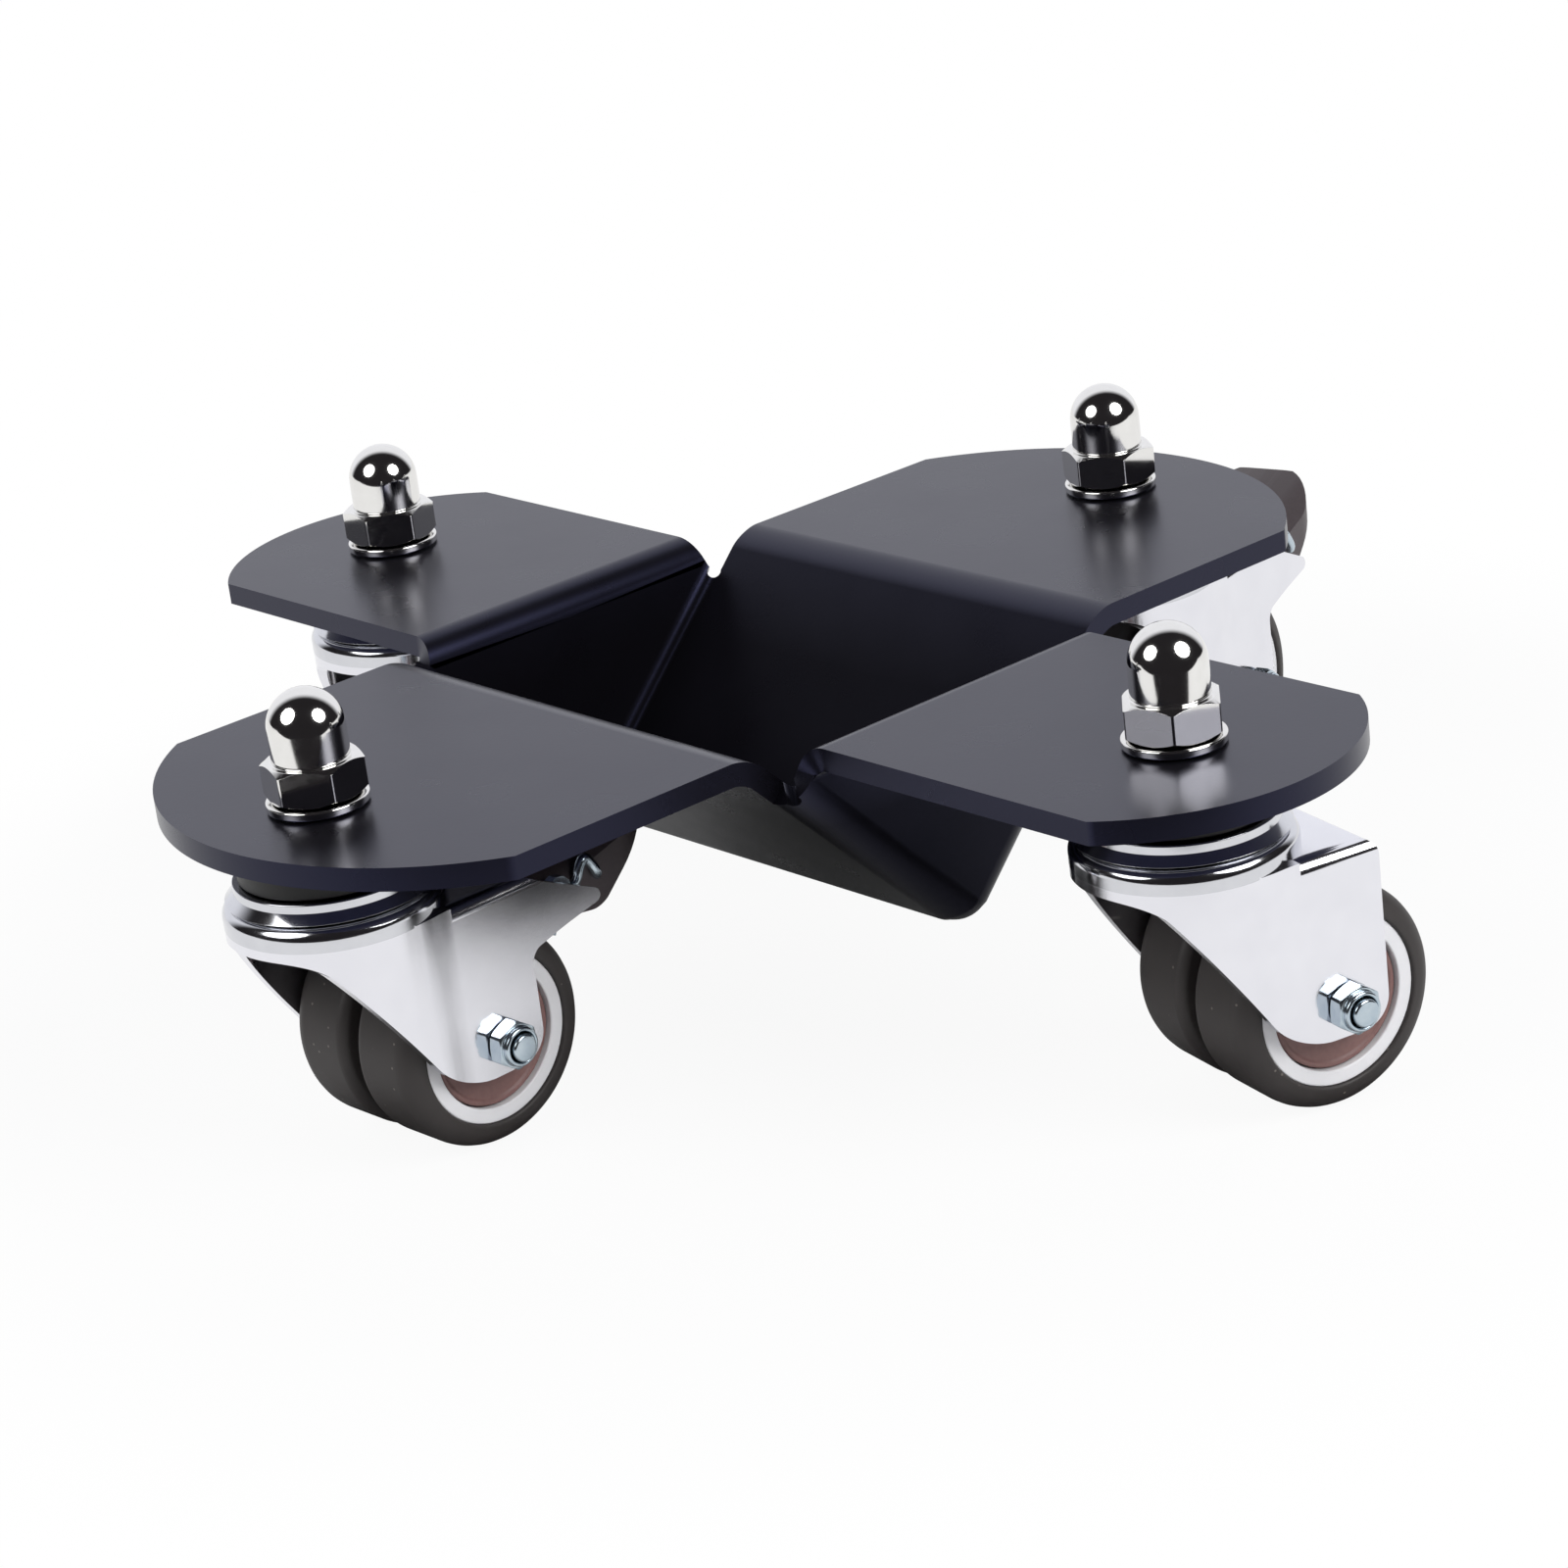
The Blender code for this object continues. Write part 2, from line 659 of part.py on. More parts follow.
def rim():
    """The white rim: an outer tube with a web inside that sits in the hub's waist."""
    face = wheel_half - RIM_SET_BACK
    web_half = hub_half - HUB_FLANGE - FIT_GAP
    web_bore = HUB_WAIST_RADIUS + FIT_GAP
    half_bore = [(web_bore, web_half), (rim_bore, web_half), (rim_bore, face)]
    bore = [(radius, -height) for radius, height in reversed(half_bore)] + half_bore
    profile = [(rim_radius, face), (rim_radius, -face)] + bore
    return finished(turned(profile, WIDE_SIDES), "rim", WHITE_PLASTIC)


def hub():
    outer = rim_bore - FIT_GAP
    waist_end = hub_half - HUB_FLANGE
    bore = SLEEVE_RADIUS + RUN_GAP
    half = [(outer, hub_half), (outer, waist_end), (HUB_WAIST_RADIUS, waist_end)]
    profile = mirrored(half) + [(bore, -hub_half), (bore, hub_half)]
    return finished(turned(profile, WIDE_SIDES), "hub", BROWN_PLASTIC)


# Brake, in a frame on its pivot: X along the pin, Y back, Z up


def brake_pedal():
    """A foot pedal, wedge-shaped from the side as (back, up), with its root round the pin."""
    hub_radius = shoe_reach - SHOE_BAR - 2 * FIT_GAP
    outline = rounded(
        [
            (-hub_radius, PEDAL_ROOT_RISE, PEDAL_HEEL_ROUND),
            (PEDAL_REACH - PEDAL_TIP, PEDAL_RISE, PEDAL_EDGE_ROUND),
            (PEDAL_REACH, PEDAL_RISE - PEDAL_TIP, PEDAL_EDGE_ROUND),
            (PEDAL_REACH, PEDAL_RISE - 2 * PEDAL_TIP, PEDAL_EDGE_ROUND),
            (PEDAL_HEEL_BACK, -PEDAL_HEEL_DROP, PEDAL_HEEL_ROUND),
            (-hub_radius, -hub_radius, hub_radius),
        ]
    )
    half = PEDAL_WIDTH / 2
    front = -hub_radius - MARGIN
    plan = rounded(
        [
            (-half, front, 0),
            (half, front, 0),
            (half, PEDAL_REACH, PEDAL_CORNER),
            (-half, PEDAL_REACH, PEDAL_CORNER),
        ]
    )
    tall = 2 * (PEDAL_RISE + PEDAL_HEEL_DROP + MARGIN)
    half_crown = [
        (half, -tall, 0),
        (half, -PEDAL_SIDE_DROP, PEDAL_EDGE_ROUND),
        (half - PEDAL_SHOULDER_INSET, -PEDAL_SHOULDER_DROP, PEDAL_CROWN_ROUND),
        (PEDAL_FLAT / 2, 0, PEDAL_CROWN_ROUND),
    ]
    crown = rounded(half_crown + [(-across, up, radius) for across, up, radius in reversed(half_crown)])
    slope = math.atan2(PEDAL_RISE - PEDAL_ROOT_RISE, PEDAL_REACH - PEDAL_TIP + hub_radius)
    root = (0, -hub_radius, PEDAL_ROOT_RISE)
    along_slope = (math.radians(90) + slope, 0, 0)
    body = prism(outline, PEDAL_WIDTH + 2 * MARGIN, (0, 0, 0), SIDEWAYS)
    combine(body, prism(plan, tall), "INTERSECT")
    combine(body, prism(crown, 2 * (PEDAL_REACH + tall), root, along_slope), "INTERSECT")
    bore = rod(pin_bore, -PEDAL_WIDTH, PEDAL_WIDTH, NARROW_SIDES, (0, 0, 0), ALONG_AXLE)
    combine(body, bore, "DIFFERENCE")
    return finished(body, "brake_pedal", TAUPE_PLASTIC)


def brake_shoe():
    """Two side plates on the pin, joined by the bar that meets the tyre when the pedal is down."""
    angle = math.pi + PIVOT_ANGLE + BRAKE_TRAVEL
    inner = PEDAL_WIDTH / 2 + FIT_GAP
    outer = inner + SHOE_SHEET
    bar_middle = shoe_reach - SHOE_BAR / 2
    place = (0, bar_middle * math.cos(angle), bar_middle * math.sin(angle))
    half = SHOE_BAR / 2
    square = [(-half, -half), (half, -half), (half, half), (-half, half)]
    turn = (math.radians(90), -angle, math.radians(90))
    body = prism(square, 2 * outer, place, turn)
    eye = pin_bore + SHOE_EYE_WALL
    end = half - SHOE_EDGE_STEP
    plate = rounded([(-eye, -eye, eye), (bar_middle, -end, 0), (bar_middle, end, 0), (-eye, eye, eye)])
    for side in (-1, 1):
        middle = (side * (inner + outer) / 2, 0, 0)
        combine(body, prism(plate, SHOE_SHEET - 2 * SHOE_EDGE_STEP, middle, turn), "UNION")
    bore = rod(pin_bore, -outer - MARGIN, outer + MARGIN, NARROW_SIDES, (0, 0, 0), ALONG_AXLE)
    combine(body, bore, "DIFFERENCE")
    return finished(body, "brake_shoe", ZINC)


def brake_pin():
    return finished(rod(PIN_RADIUS, -fork_outer, fork_outer, NARROW_SIDES), "brake_pin", ZINC)


# Assembly


def empty(name, parent, location, turn=(0, 0, 0)):
    made = bpy.data.objects.new(name, None)
    made.parent = parent
    made.location = location
    made.rotation_euler = turn
    parts.objects.link(made)
    return made


def place(name, mesh, parent, location=(0, 0, 0), turn=(0, 0, 0)):
    piece = bpy.data.objects.new(name, mesh)
    piece.parent = parent
    piece.location = location
    piece.rotation_euler = turn
    parts.objects.link(piece)


def middle_offset():
    """How far along Y the plate's middle lies from the middle of the whole dolly."""
    heading = math.radians(CASTERS["back"][1])
    reach = pivot_back + PEDAL_REACH - PEDAL_CORNER
    across = PEDAL_WIDTH / 2 - PEDAL_CORNER
    rear = side_stem + reach * math.cos(heading) + across * math.sin(heading) + PEDAL_CORNER
    return (side_ear_tip - rear) / 2


def assemble():
    fixed = {"washer": washer(), "stem": stem(), "spacer": spacer(), "swivel_cup": swivel_cup()}
    nut = dome_nut()
    race = ball_race()
    forks = {braked: fork(braked) for braked in (False, True)}
    axle_pieces = {"axle_bolt": axle_bolt(), "axle_nut": axle_nut(), "axle_sleeve": axle_sleeve()}
    wheel_pieces = {"tyre": tyre(), "rim": rim(), "hub": hub()}
    brake_pieces = {"brake_pedal": brake_pedal(), "brake_shoe": brake_shoe()}
    pin = brake_pin()

    dolly = empty("dolly", None, (0, middle_offset(), 0))
    place("cradle_plate", cradle_plate(), dolly, (0, 0, plate_top))
    for caster, (way, heading, nut_turn, braked) in CASTERS.items():
        ear = empty(f"{caster}_ear", dolly, (way[0] * end_stem, way[1] * side_stem, 0))
        place(f"{caster}_dome_nut", nut, ear, (0, 0, nut_under), (0, 0, math.radians(nut_turn)))
        for piece, mesh in fixed.items():
            place(f"{caster}_{piece}", mesh, ear)
        swivel = empty(f"{caster}_swivel", ear, (0, 0, 0), (0, 0, math.radians(heading)))
        place(f"{caster}_ball_race", race, swivel)
        place(f"{caster}_fork", forks[braked], swivel)
        axle = empty(f"{caster}_axle", swivel, (0, FORK_TRAIL, axle_height), ALONG_AXLE)
        for piece, mesh in {**axle_pieces, **wheel_pieces}.items():
            place(f"{caster}_{piece}", mesh, axle)
        if braked:
            pivot = empty(f"{caster}_pivot", swivel, (0, pivot_back, pivot_height))
            for piece, mesh in brake_pieces.items():
                place(f"{caster}_{piece}", mesh, pivot)
            place(f"{caster}_brake_pin", pin, pivot, (0, 0, 0), ALONG_AXLE)


assemble()
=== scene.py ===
"""Wheel dolly, dressed: its folded cradle plate, four swivel casters and two brakes, lit as in a studio."""

import json
import math

import bmesh
import bpy
from mathutils import Matrix, Vector

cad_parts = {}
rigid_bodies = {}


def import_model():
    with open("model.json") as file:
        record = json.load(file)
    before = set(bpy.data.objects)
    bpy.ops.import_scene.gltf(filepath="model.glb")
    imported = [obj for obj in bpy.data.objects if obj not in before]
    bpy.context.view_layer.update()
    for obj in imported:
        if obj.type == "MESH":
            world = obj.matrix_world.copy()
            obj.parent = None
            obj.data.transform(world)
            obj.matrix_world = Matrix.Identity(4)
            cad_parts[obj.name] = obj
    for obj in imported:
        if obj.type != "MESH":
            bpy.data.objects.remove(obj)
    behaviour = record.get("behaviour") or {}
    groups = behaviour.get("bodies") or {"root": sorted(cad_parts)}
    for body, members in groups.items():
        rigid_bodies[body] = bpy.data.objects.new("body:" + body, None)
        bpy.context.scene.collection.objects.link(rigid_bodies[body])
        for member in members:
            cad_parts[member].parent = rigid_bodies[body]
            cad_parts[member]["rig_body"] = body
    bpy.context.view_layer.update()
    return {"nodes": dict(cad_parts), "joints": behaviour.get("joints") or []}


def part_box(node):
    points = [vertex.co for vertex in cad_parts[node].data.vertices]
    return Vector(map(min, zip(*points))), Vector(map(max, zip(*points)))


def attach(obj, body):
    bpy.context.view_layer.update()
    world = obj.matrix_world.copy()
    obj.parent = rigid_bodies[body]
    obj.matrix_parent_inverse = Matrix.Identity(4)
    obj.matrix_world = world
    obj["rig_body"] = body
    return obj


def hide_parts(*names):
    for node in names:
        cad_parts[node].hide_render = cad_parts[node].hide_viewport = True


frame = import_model()

# Sizes in millimetres, turns in degrees
MM = 0.001
TINY = 0.0005
FIT_GAP = 0.3

# How far a cutting shape passes what it cuts, and what the fullest rounding leaves of a side
OVERSHOOT = 2
LEFT_OVER = 0.01

# Cradle plate, from the middle of the trough
SHEET = 4.2
TROUGH_DEPTH = 42.4
NOTCH_DEPTH = 7.0
SIDE_EAR_WIDTH = 98.0
SIDE_EAR_LENGTH = 50.8
SIDE_EAR_BOW = 26.1
TROUGH_END = 51.8
END_EAR_WIDTH = 66.0
END_EAR_LENGTH = 67.7
END_EAR_BOW = 17.7
SIDE_BEND = 4.14
END_BEND = 5.5
VALLEY_BEND = 4.0
CORNER_BEND = 2.4
BEND_STEPS = 14
RELIEF_RADIUS = 1.3
PLATE_EDGE = 0.35

# Heights over the floor, from the wheel up to the cap nut
AXLE_HEIGHT = 20.0
CROWN_UNDER = 45.8
SHELF_TOP = 47.8
CROWN_TOP = 48.4
RACEWAY_FLOOR = 49.0
RACEWAY_TOP = 51.7
CUP_LIP = 52.0
CUP_FLARE = 52.2
CUP_UNDER = 53.4
CUP_RIM = 53.8
CUP_TOP = 55.4
SPACER_UNDER = 55.6
SPACER_TOP = 62.3
PLATE_TOP = 66.8
WASHER_UNDER = 67.1
NUT_UNDER = 69.0

# Nuts and bolt heads: a turned blank kept within a hexagon
FACE_INSET = 0.1
CORNER_SPARE = 0.2
HEX_EDGE = 0.35
FASTENER_EDGE = 0.1

# Swivel head
STEM_RADIUS = 5.0
STEM_BORE = 5.3
RIVET_RADIUS = 7.5
RIVET_END_RADIUS = 6.0
RIVET_HEIGHT = 2.5
NUT_FLATS = 16.0
NUT_HEX_HEIGHT = 6.6
NUT_HEIGHT = 19.0
NUT_CHAMFER = 1.05
DOME_RADIUS = 6.75
NECK_RADIUS = 6.82
WASHER_RADIUS = 9.0
WASHER_THICKNESS = 1.6
WASHER_MOUTH = 0.2
SPACER_RADIUS = 15.8
RING_ROUND = 0.4
CUP_RADIUS = 16.9
CUP_FLARE_RADIUS = 18.6
CUP_SHEET = 1.8
BEAD_RADIUS = 19.4
BEAD_ROUND = 2.2
BEAD_LAP = 0.3
RACEWAY_LAP = 0.6
RACEWAY_MOUTH_RADIUS = 15.0
RACEWAY_FLOOR_RADIUS = 14.8
NUT_TURNS = {"front": 14.6, "right": 44.5, "back": 4.2, "left": 24.0}

# Fork, back and up from the stem
FORK_INNER = 17.4
FORK_OUTER = 18.8
FORK_FRONT = 19.33
JOGGLE_START = 4.2
JOGGLE_END = 8.6
JOGGLE_BEND = 1.4
FORK_TRAIL = 17.5
FORK_EDGE = 0.45
SHELF_BEND = 2.6
SHELF_START = 10.0
SHELF_LAP = 0.5
CROWN_STEP_TOP = 1
CROWN_STEP_FOOT = 2
CHEEK_LEAD = 15.2
CHEEK_TOE = 10.8
CHEEK_BOTTOM = 14.3
CHEEK_REAR = 25.9
PIVOT_BACK = 37.182
PIVOT_HEIGHT = 39.206
BRACKET_END = 42.7

# Wheel
WHEEL_RADIUS = 20.0
WHEEL_HALF = 16.3
TYRE_SHOULDER = 3.8
GROOVE_HALF = 1.8
GROOVE_LIP = 1.8
GROOVE_DEPTH = 4.1
GROOVE_FLOOR_HALF = 1.2
RIM_HALF = 15.8
RIM_RADIUS = 15.5
RIM_BORE = 12.8
RIM_ROUND = 0.35
RIM_WEB_HALF = 11.4
RIM_WEB_RADIUS = 8.8
HUB_HALF = 14.9
HUB_BORE = 4.4
HUB_BOSS_RADIUS = 6.2
HUB_DISH_INNER = 6.7
HUB_DISH_OUTER = 11.3
HUB_LIP_RADIUS = 11.7
HUB_DISH = 0.4
HUB_FLANGE = 3.2
HUB_WAIST_RADIUS = 8.5
HUB_ROUND = 0.2
AXLE_RADIUS = 2.5
AXLE_BORE = 2.8
AXLE_NUT_FLATS = 8.0
AXLE_SEAT = 19.1
AXLE_HEX_TOP = 22.1
AXLE_NUT_TOP = 23.3
AXLE_NUT_CHAMFER = 0.5
AXLE_COLLAR_RADIUS = 3.6
AXLE_END = 24.2
BOLT_HEAD = 3.5
BOLT_HEAD_CHAMFER = 0.6
BOLT_HEAD_LAP = 1
LOCK_NUT_TURN = 26

# Brake, from its pivot, with its outlines as corners and the reach of each rounding
PIN_RADIUS = 1.8
PIN_BORE = 2.1
PEDAL_WIDTH = 25.6
PEDAL_REACH = 27.3
PEDAL_ROOT = -7
PEDAL_CORNER = 11
PEDAL_TALL = 30
PEDAL_EDGE = 1.2
PEDAL_SLOPE = 0.27
PEDAL_CROWN = 5.16
PEDAL_CROWN_SPAN = (-20, 40)
PEDAL_SIDE = [
    (-4.3, 4.0, 2.0),
    (PEDAL_REACH - 1.6, 12.1, 1.0),
    (PEDAL_REACH, 10.5, 0.7),
    (PEDAL_REACH, 8.9, 0.7),
    (10.5, -6.4, 2.4),
    (-4.3, -4.3, 4.0),
]
HALF_CROWN = [(14.0, -40, 0), (14.0, -5.9, 0), (10.0, -1.6, 2.4), (2.5, 0, 3.5)]

# The spring's end, as points out from the pedal's flank, back and up
SPRING_RADIUS = 0.95
SPRING_POINTS = [
    (-1.0, 3.6, -0.4),
    (0.4, 4.6, 0.6),
    (0.7, 6.2, 3.6),
    (0.7, 7.2, 4.3),
    (0.7, 8.2, 3.4),
    (0.5, 9.8, 0.6),
    (-1.0, 10.6, -0.4),
]

# The outline of a side view, as (back, up), stands across the axle
SIDEWAYS = Matrix(((0, 0, 1, 0), (1, 0, 0, 0), (0, 1, 0, 0), (0, 0, 0, 1)))
ALONG_AXLE = Matrix.Rotation(math.radians(90), 4, "Y")

# The outline of the pedal's cross-section, as (across, up), runs back along its sloping top
UP_THE_PEDAL = Matrix(
    ((-1, 0, 0, 0), (0, 0, 1, 0), (0, 1, PEDAL_SLOPE, PEDAL_CROWN), (0, 0, 0, 1))
)

# Shading of the meshes
SHARP_ANGLE = math.radians(35)
EDGE_ANGLE = math.radians(40)
EDGE_STEPS = 3


# Modelling


def new_mesh(name, shape):
    """A mesh that takes the place of a shape."""
    mesh = bpy.data.meshes.new(name)
    shape.to_mesh(mesh)
    shape.free()
    return mesh


def new_object(name, data):
    """An object linked to the scene."""
    body = bpy.data.objects.new(name, data)
    bpy.context.scene.collection.objects.link(body)
    return body


def oblong(half_width, front, rear, front_reach=0, rear_reach=0):
    """The corners of an oblong, from its left front corner."""
    return [
        (-half_width, front, front_reach),
        (half_width, front, front_reach),
        (half_width, rear, rear_reach),
        (-half_width, rear, rear_reach),
    ]


def with_left(half):
    """The right half of an outline, followed by its mirror image on the left."""
    return half + [(-across, up, reach) for across, up, reach in reversed(half)]


def with_lower(half):
    """The upper half of an outline, followed by its mirror image below."""
    return half + [(across, -up, reach) for across, up, reach in reversed(half)]


def outline(corners, steps):
    """A flat face through (across, up, reach) corners, each rounded over its reach along both sides."""
    shape = bmesh.new()
    points = [shape.verts.new((across, up, 0)) for across, up, _ in corners]
    shape.faces.new(points)
    for point, (_, _, reach) in zip(points, corners):
        if reach:
            bmesh.ops.bevel(
                shape, geom=[point], offset=reach, offset_type="OFFSET", segments=steps,
                profile=0.5, affect="VERTICES", material=-1,
            )
    return shape


def slab(corners, bottom, top, steps=8):
    """An outline given a thickness along Z."""
    shape = outline(corners, steps)
    bmesh.ops.translate(shape, verts=shape.verts, vec=(0, 0, bottom))
    raised = bmesh.ops.extrude_face_region(shape, geom=shape.faces[:])["geom"]
    upper = [part for part in raised if isinstance(part, bmesh.types.BMVert)]
    bmesh.ops.translate(shape, verts=upper, vec=(0, 0, top - bottom))
    bmesh.ops.recalc_face_normals(shape, faces=shape.faces)
    return shape


def turned(corners, sides=96, steps=5):
    """A (radius, height) outline turned round Z."""
    shape = outline(corners, steps)
    bmesh.ops.delete(shape, geom=shape.faces[:], context="FACES_ONLY")
    on_axis = [edge for edge in shape.edges if all(point.co.x < TINY for point in edge.verts)]
    bmesh.ops.delete(shape, geom=on_axis, context="EDGES")
    upright = Matrix.Rotation(math.radians(90), 3, "X")
    bmesh.ops.rotate(shape, cent=(0, 0, 0), matrix=upright, verts=shape.verts)
    bmesh.ops.spin(
        shape, geom=shape.verts[:] + shape.edges[:], cent=(0, 0, 0), axis=(0, 0, 1),
        angle=math.tau, steps=sides, use_merge=True,
    )
    bmesh.ops.remove_doubles(shape, verts=shape.verts, dist=TINY)
    bmesh.ops.recalc_face_normals(shape, faces=shape.faces)
    return shape


def rod(radius, bottom, top, sides=48):
    shape = bmesh.new()
    bmesh.ops.create_cone(
        shape, cap_ends=True, segments=sides, radius1=radius, radius2=radius, depth=top - bottom
    )
    bmesh.ops.translate(shape, verts=shape.verts, vec=(0, 0, (top + bottom) / 2))
    return shape


def moved(shape, matrix):
    bmesh.ops.transform(shape, matrix=matrix, verts=shape.verts)
    return shape


def softened(shape, edges, reach, steps):
    """Edges rounded over their reach."""
    bmesh.ops.bevel(
        shape, geom=edges, offset=reach, offset_type="OFFSET", segments=steps,
        profile=0.5, affect="EDGES", material=-1,
    )
    return shape


def worked(shape, kind, settings):
    """The shape with one modifier worked in."""
    mesh = new_mesh("work", shape)
    body = new_object("work", mesh)
    modifier = body.modifiers.new("work", kind)
    for setting, value in settings.items():
        setattr(modifier, setting, value)
    bpy.context.view_layer.update()
    done = bmesh.new()
    done.from_object(body, bpy.context.evaluated_depsgraph_get())
    bpy.data.objects.remove(body)
    bpy.data.meshes.remove(mesh)
    return done


def carved(shape, tool, operation="DIFFERENCE"):
    """A shape cut by, joined to or kept within another."""
    mesh = new_mesh("tool", tool)
    body = new_object("tool", mesh)
    done = worked(shape, "BOOLEAN", {"object": body, "operation": operation})
    bpy.data.objects.remove(body)
    bpy.data.meshes.remove(mesh)
    return done


def add_piece(name, shape, place, finish, carrier, stands_for=(), edge=0.0):
    """A finished piece in its place, riding with the node that carries it."""
    mesh = new_mesh(name, moved(shape, place))
    mesh.materials.append(finish)
    mesh.shade_smooth()
    mesh.set_sharp_from_angle(angle=SHARP_ANGLE)
    piece = new_object(name, mesh)
    if edge:
        rounding = piece.modifiers.new("edges", "BEVEL")
        rounding.width = edge * MM
        rounding.segments = EDGE_STEPS
        rounding.limit_method = "ANGLE"
        rounding.angle_limit = EDGE_ANGLE
        rounding.use_clamp_overlap = True
    normals = piece.modifiers.new("normals", "WEIGHTED_NORMAL")
    normals.keep_sharp = not edge
    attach(piece, frame["nodes"][carrier]["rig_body"])
    if stands_for:
        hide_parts(*stands_for)


# Finishes

# Under the plate's top, where its powder coat's reflection is dimmed most as painted shade in the trough,
# and from where it is glossy
DULL_DEPTH = 16
GLOSSY_DEPTH = 4
DULL_SPECULAR = 0.16
GLOSSY_SPECULAR = 0.5


def colour(code):
    """An sRGB hex value as linear red, green, blue and alpha."""
    parts = [int(code[start:start + 2], 16) / 255 for start in (1, 3, 5)]
    linear = [part / 12.92 if part <= 0.04045 else ((part + 0.055) / 1.055) ** 2.4 for part in parts]
    return (*linear, 1)


def per(size):
    """A texture's scale for a feature of this many millimetres, on coordinates in metres."""
    return 1 / (size * MM)


def add(tree, kind, links=None, **settings):
    """A node with its settings, and its sockets set or linked."""
    made = tree.nodes.new(kind)
    for setting, value in settings.items():
        setattr(made, setting, value)
    for socket, value in (links or {}).items():
        if isinstance(value, bpy.types.NodeSocket):
            tree.links.new(value, made.inputs[socket])
        else:
            made.inputs[socket].default_value = value
    return made


def own_place(tree):
    """The piece's own coordinates."""
    return add(tree, "ShaderNodeTexCoord").outputs["Object"]


def clouds(tree, size, detail):
    """An uneven pattern with features of this many millimetres."""
    made = add(
        tree, "ShaderNodeTexNoise", {"Vector": own_place(tree), "Scale": per(size), "Detail": detail}
    )
    return made.outputs["Fac"]


def mottled(name, sockets, size, detail, shades, roughness):
    """A finish whose colour and roughness both drift over clouds of one size."""
    made = bpy.data.materials.new(name)
    made.use_nodes = True
    tree = made.node_tree
    shader = tree.nodes["Principled BSDF"]
    for socket, value in sockets.items():
        shader.inputs[socket].default_value = value
    drift = clouds(tree, size, detail)
    dark, light = [colour(code) for code in shades]
    shade = add(tree, "ShaderNodeMixRGB", {"Fac": drift, "Color1": dark, "Color2": light})
    tree.links.new(shade.outputs["Color"], shader.inputs["Base Color"])
    least, most = roughness
    gloss = add(tree, "ShaderNodeMapRange", {"Value": drift, "To Min": least, "To Max": most})
    tree.links.new(gloss.outputs["Result"], shader.inputs["Roughness"])
    return made


def grained(made, size, detail, strength, depth):
    """A finish given a fine relief, with its depth in millimetres."""
    tree = made.node_tree
    bump = add(
        tree, "ShaderNodeBump",
        {"Height": clouds(tree, size, detail), "Strength": strength, "Distance": depth * MM},
    )
    tree.links.new(bump.outputs["Normal"], tree.nodes["Principled BSDF"].inputs["Normal"])
    return made


def powder_coat():
    """Polyester powder baked onto steel: near black, satin and cold, with an orange peel that softens
    reflections, and with painted shade down in the trough, where its reflection is dimmed with depth."""
    made = mottled(
        "satin_black_powder_coat", {"IOR": 1.48, "Specular Tint": colour("#b6baff")},
        size=18, detail=3, shades=("#0c0b0e", "#131216"), roughness=(0.25, 0.31),
    )
    tree = made.node_tree
    height = add(tree, "ShaderNodeSeparateXYZ", {"Vector": own_place(tree)}).outputs["Z"]
    # Painted shade: the coat's specular level falls with depth below the plate's top, darkening the trough.
    trough_shade = add(
        tree, "ShaderNodeMapRange",
        {
            "Value": height,
            "From Min": (PLATE_TOP - DULL_DEPTH) * MM,
            "From Max": (PLATE_TOP - GLOSSY_DEPTH) * MM,
            "To Min": DULL_SPECULAR,
            "To Max": GLOSSY_SPECULAR,
        },
    )
    shader = tree.nodes["Principled BSDF"]
    tree.links.new(trough_shade.outputs["Result"], shader.inputs["Specular IOR Level"])
    return grained(made, size=0.8, detail=1, strength=0.25, depth=0.02)


def stainless():
    """Polished stainless steel: a bright mirror with a trace of grey and of polishing haze."""
    return mottled(
        "polished_stainless_steel", {"Metallic": 1},
        size=2.5, detail=4, shades=("#e3e2df", "#eeedeb"), roughness=(0.05, 0.12),
    )


def plated_sheet():
    """Zinc and chrome plate on pressed sheet: pale silver, half matt, clouded where the press drew it."""
    made = mottled(
        "satin_plated_sheet", {"Metallic": 1},
        size=7, detail=4, shades=("#e2e2e8", "#eeeef3"), roughness=(0.1, 0.17),
    )
    return grained(made, size=0.5, detail=2, strength=0.2, depth=0.01)


def bright_plate():
    """Bright chrome plate on the rolled ball race: a mirror with slight waves from the press."""
    made = mottled(
        "bright_chrome_plate", {"Metallic": 1},
        size=4, detail=2, shades=("#cccdd2", "#dcdde1"), roughness=(0.08, 0.16),
    )
    return grained(made, size=4, detail=2, strength=0.3, depth=0.03)


def blue_zinc():
    """Blue passivated zinc on small fasteners: a cold silver with faint patches of blue."""
    return mottled(
        "blue_passivated_zinc", {"Metallic": 1},
        size=2.2, detail=3, shades=("#a9b9c6", "#cdd8de"), roughness=(0.14, 0.26),
    )


def black_plastic():
    """Black moulded nylon: dull, with a fine spark-eroded grain."""
    made = mottled(
        "black_moulded_nylon", {"IOR": 1.53},
        size=0.5, detail=3, shades=("#0b0b0c", "#141415"), roughness=(0.42, 0.55),
    )
    return grained(made, size=0.5, detail=3, strength=0.3, depth=0.02)


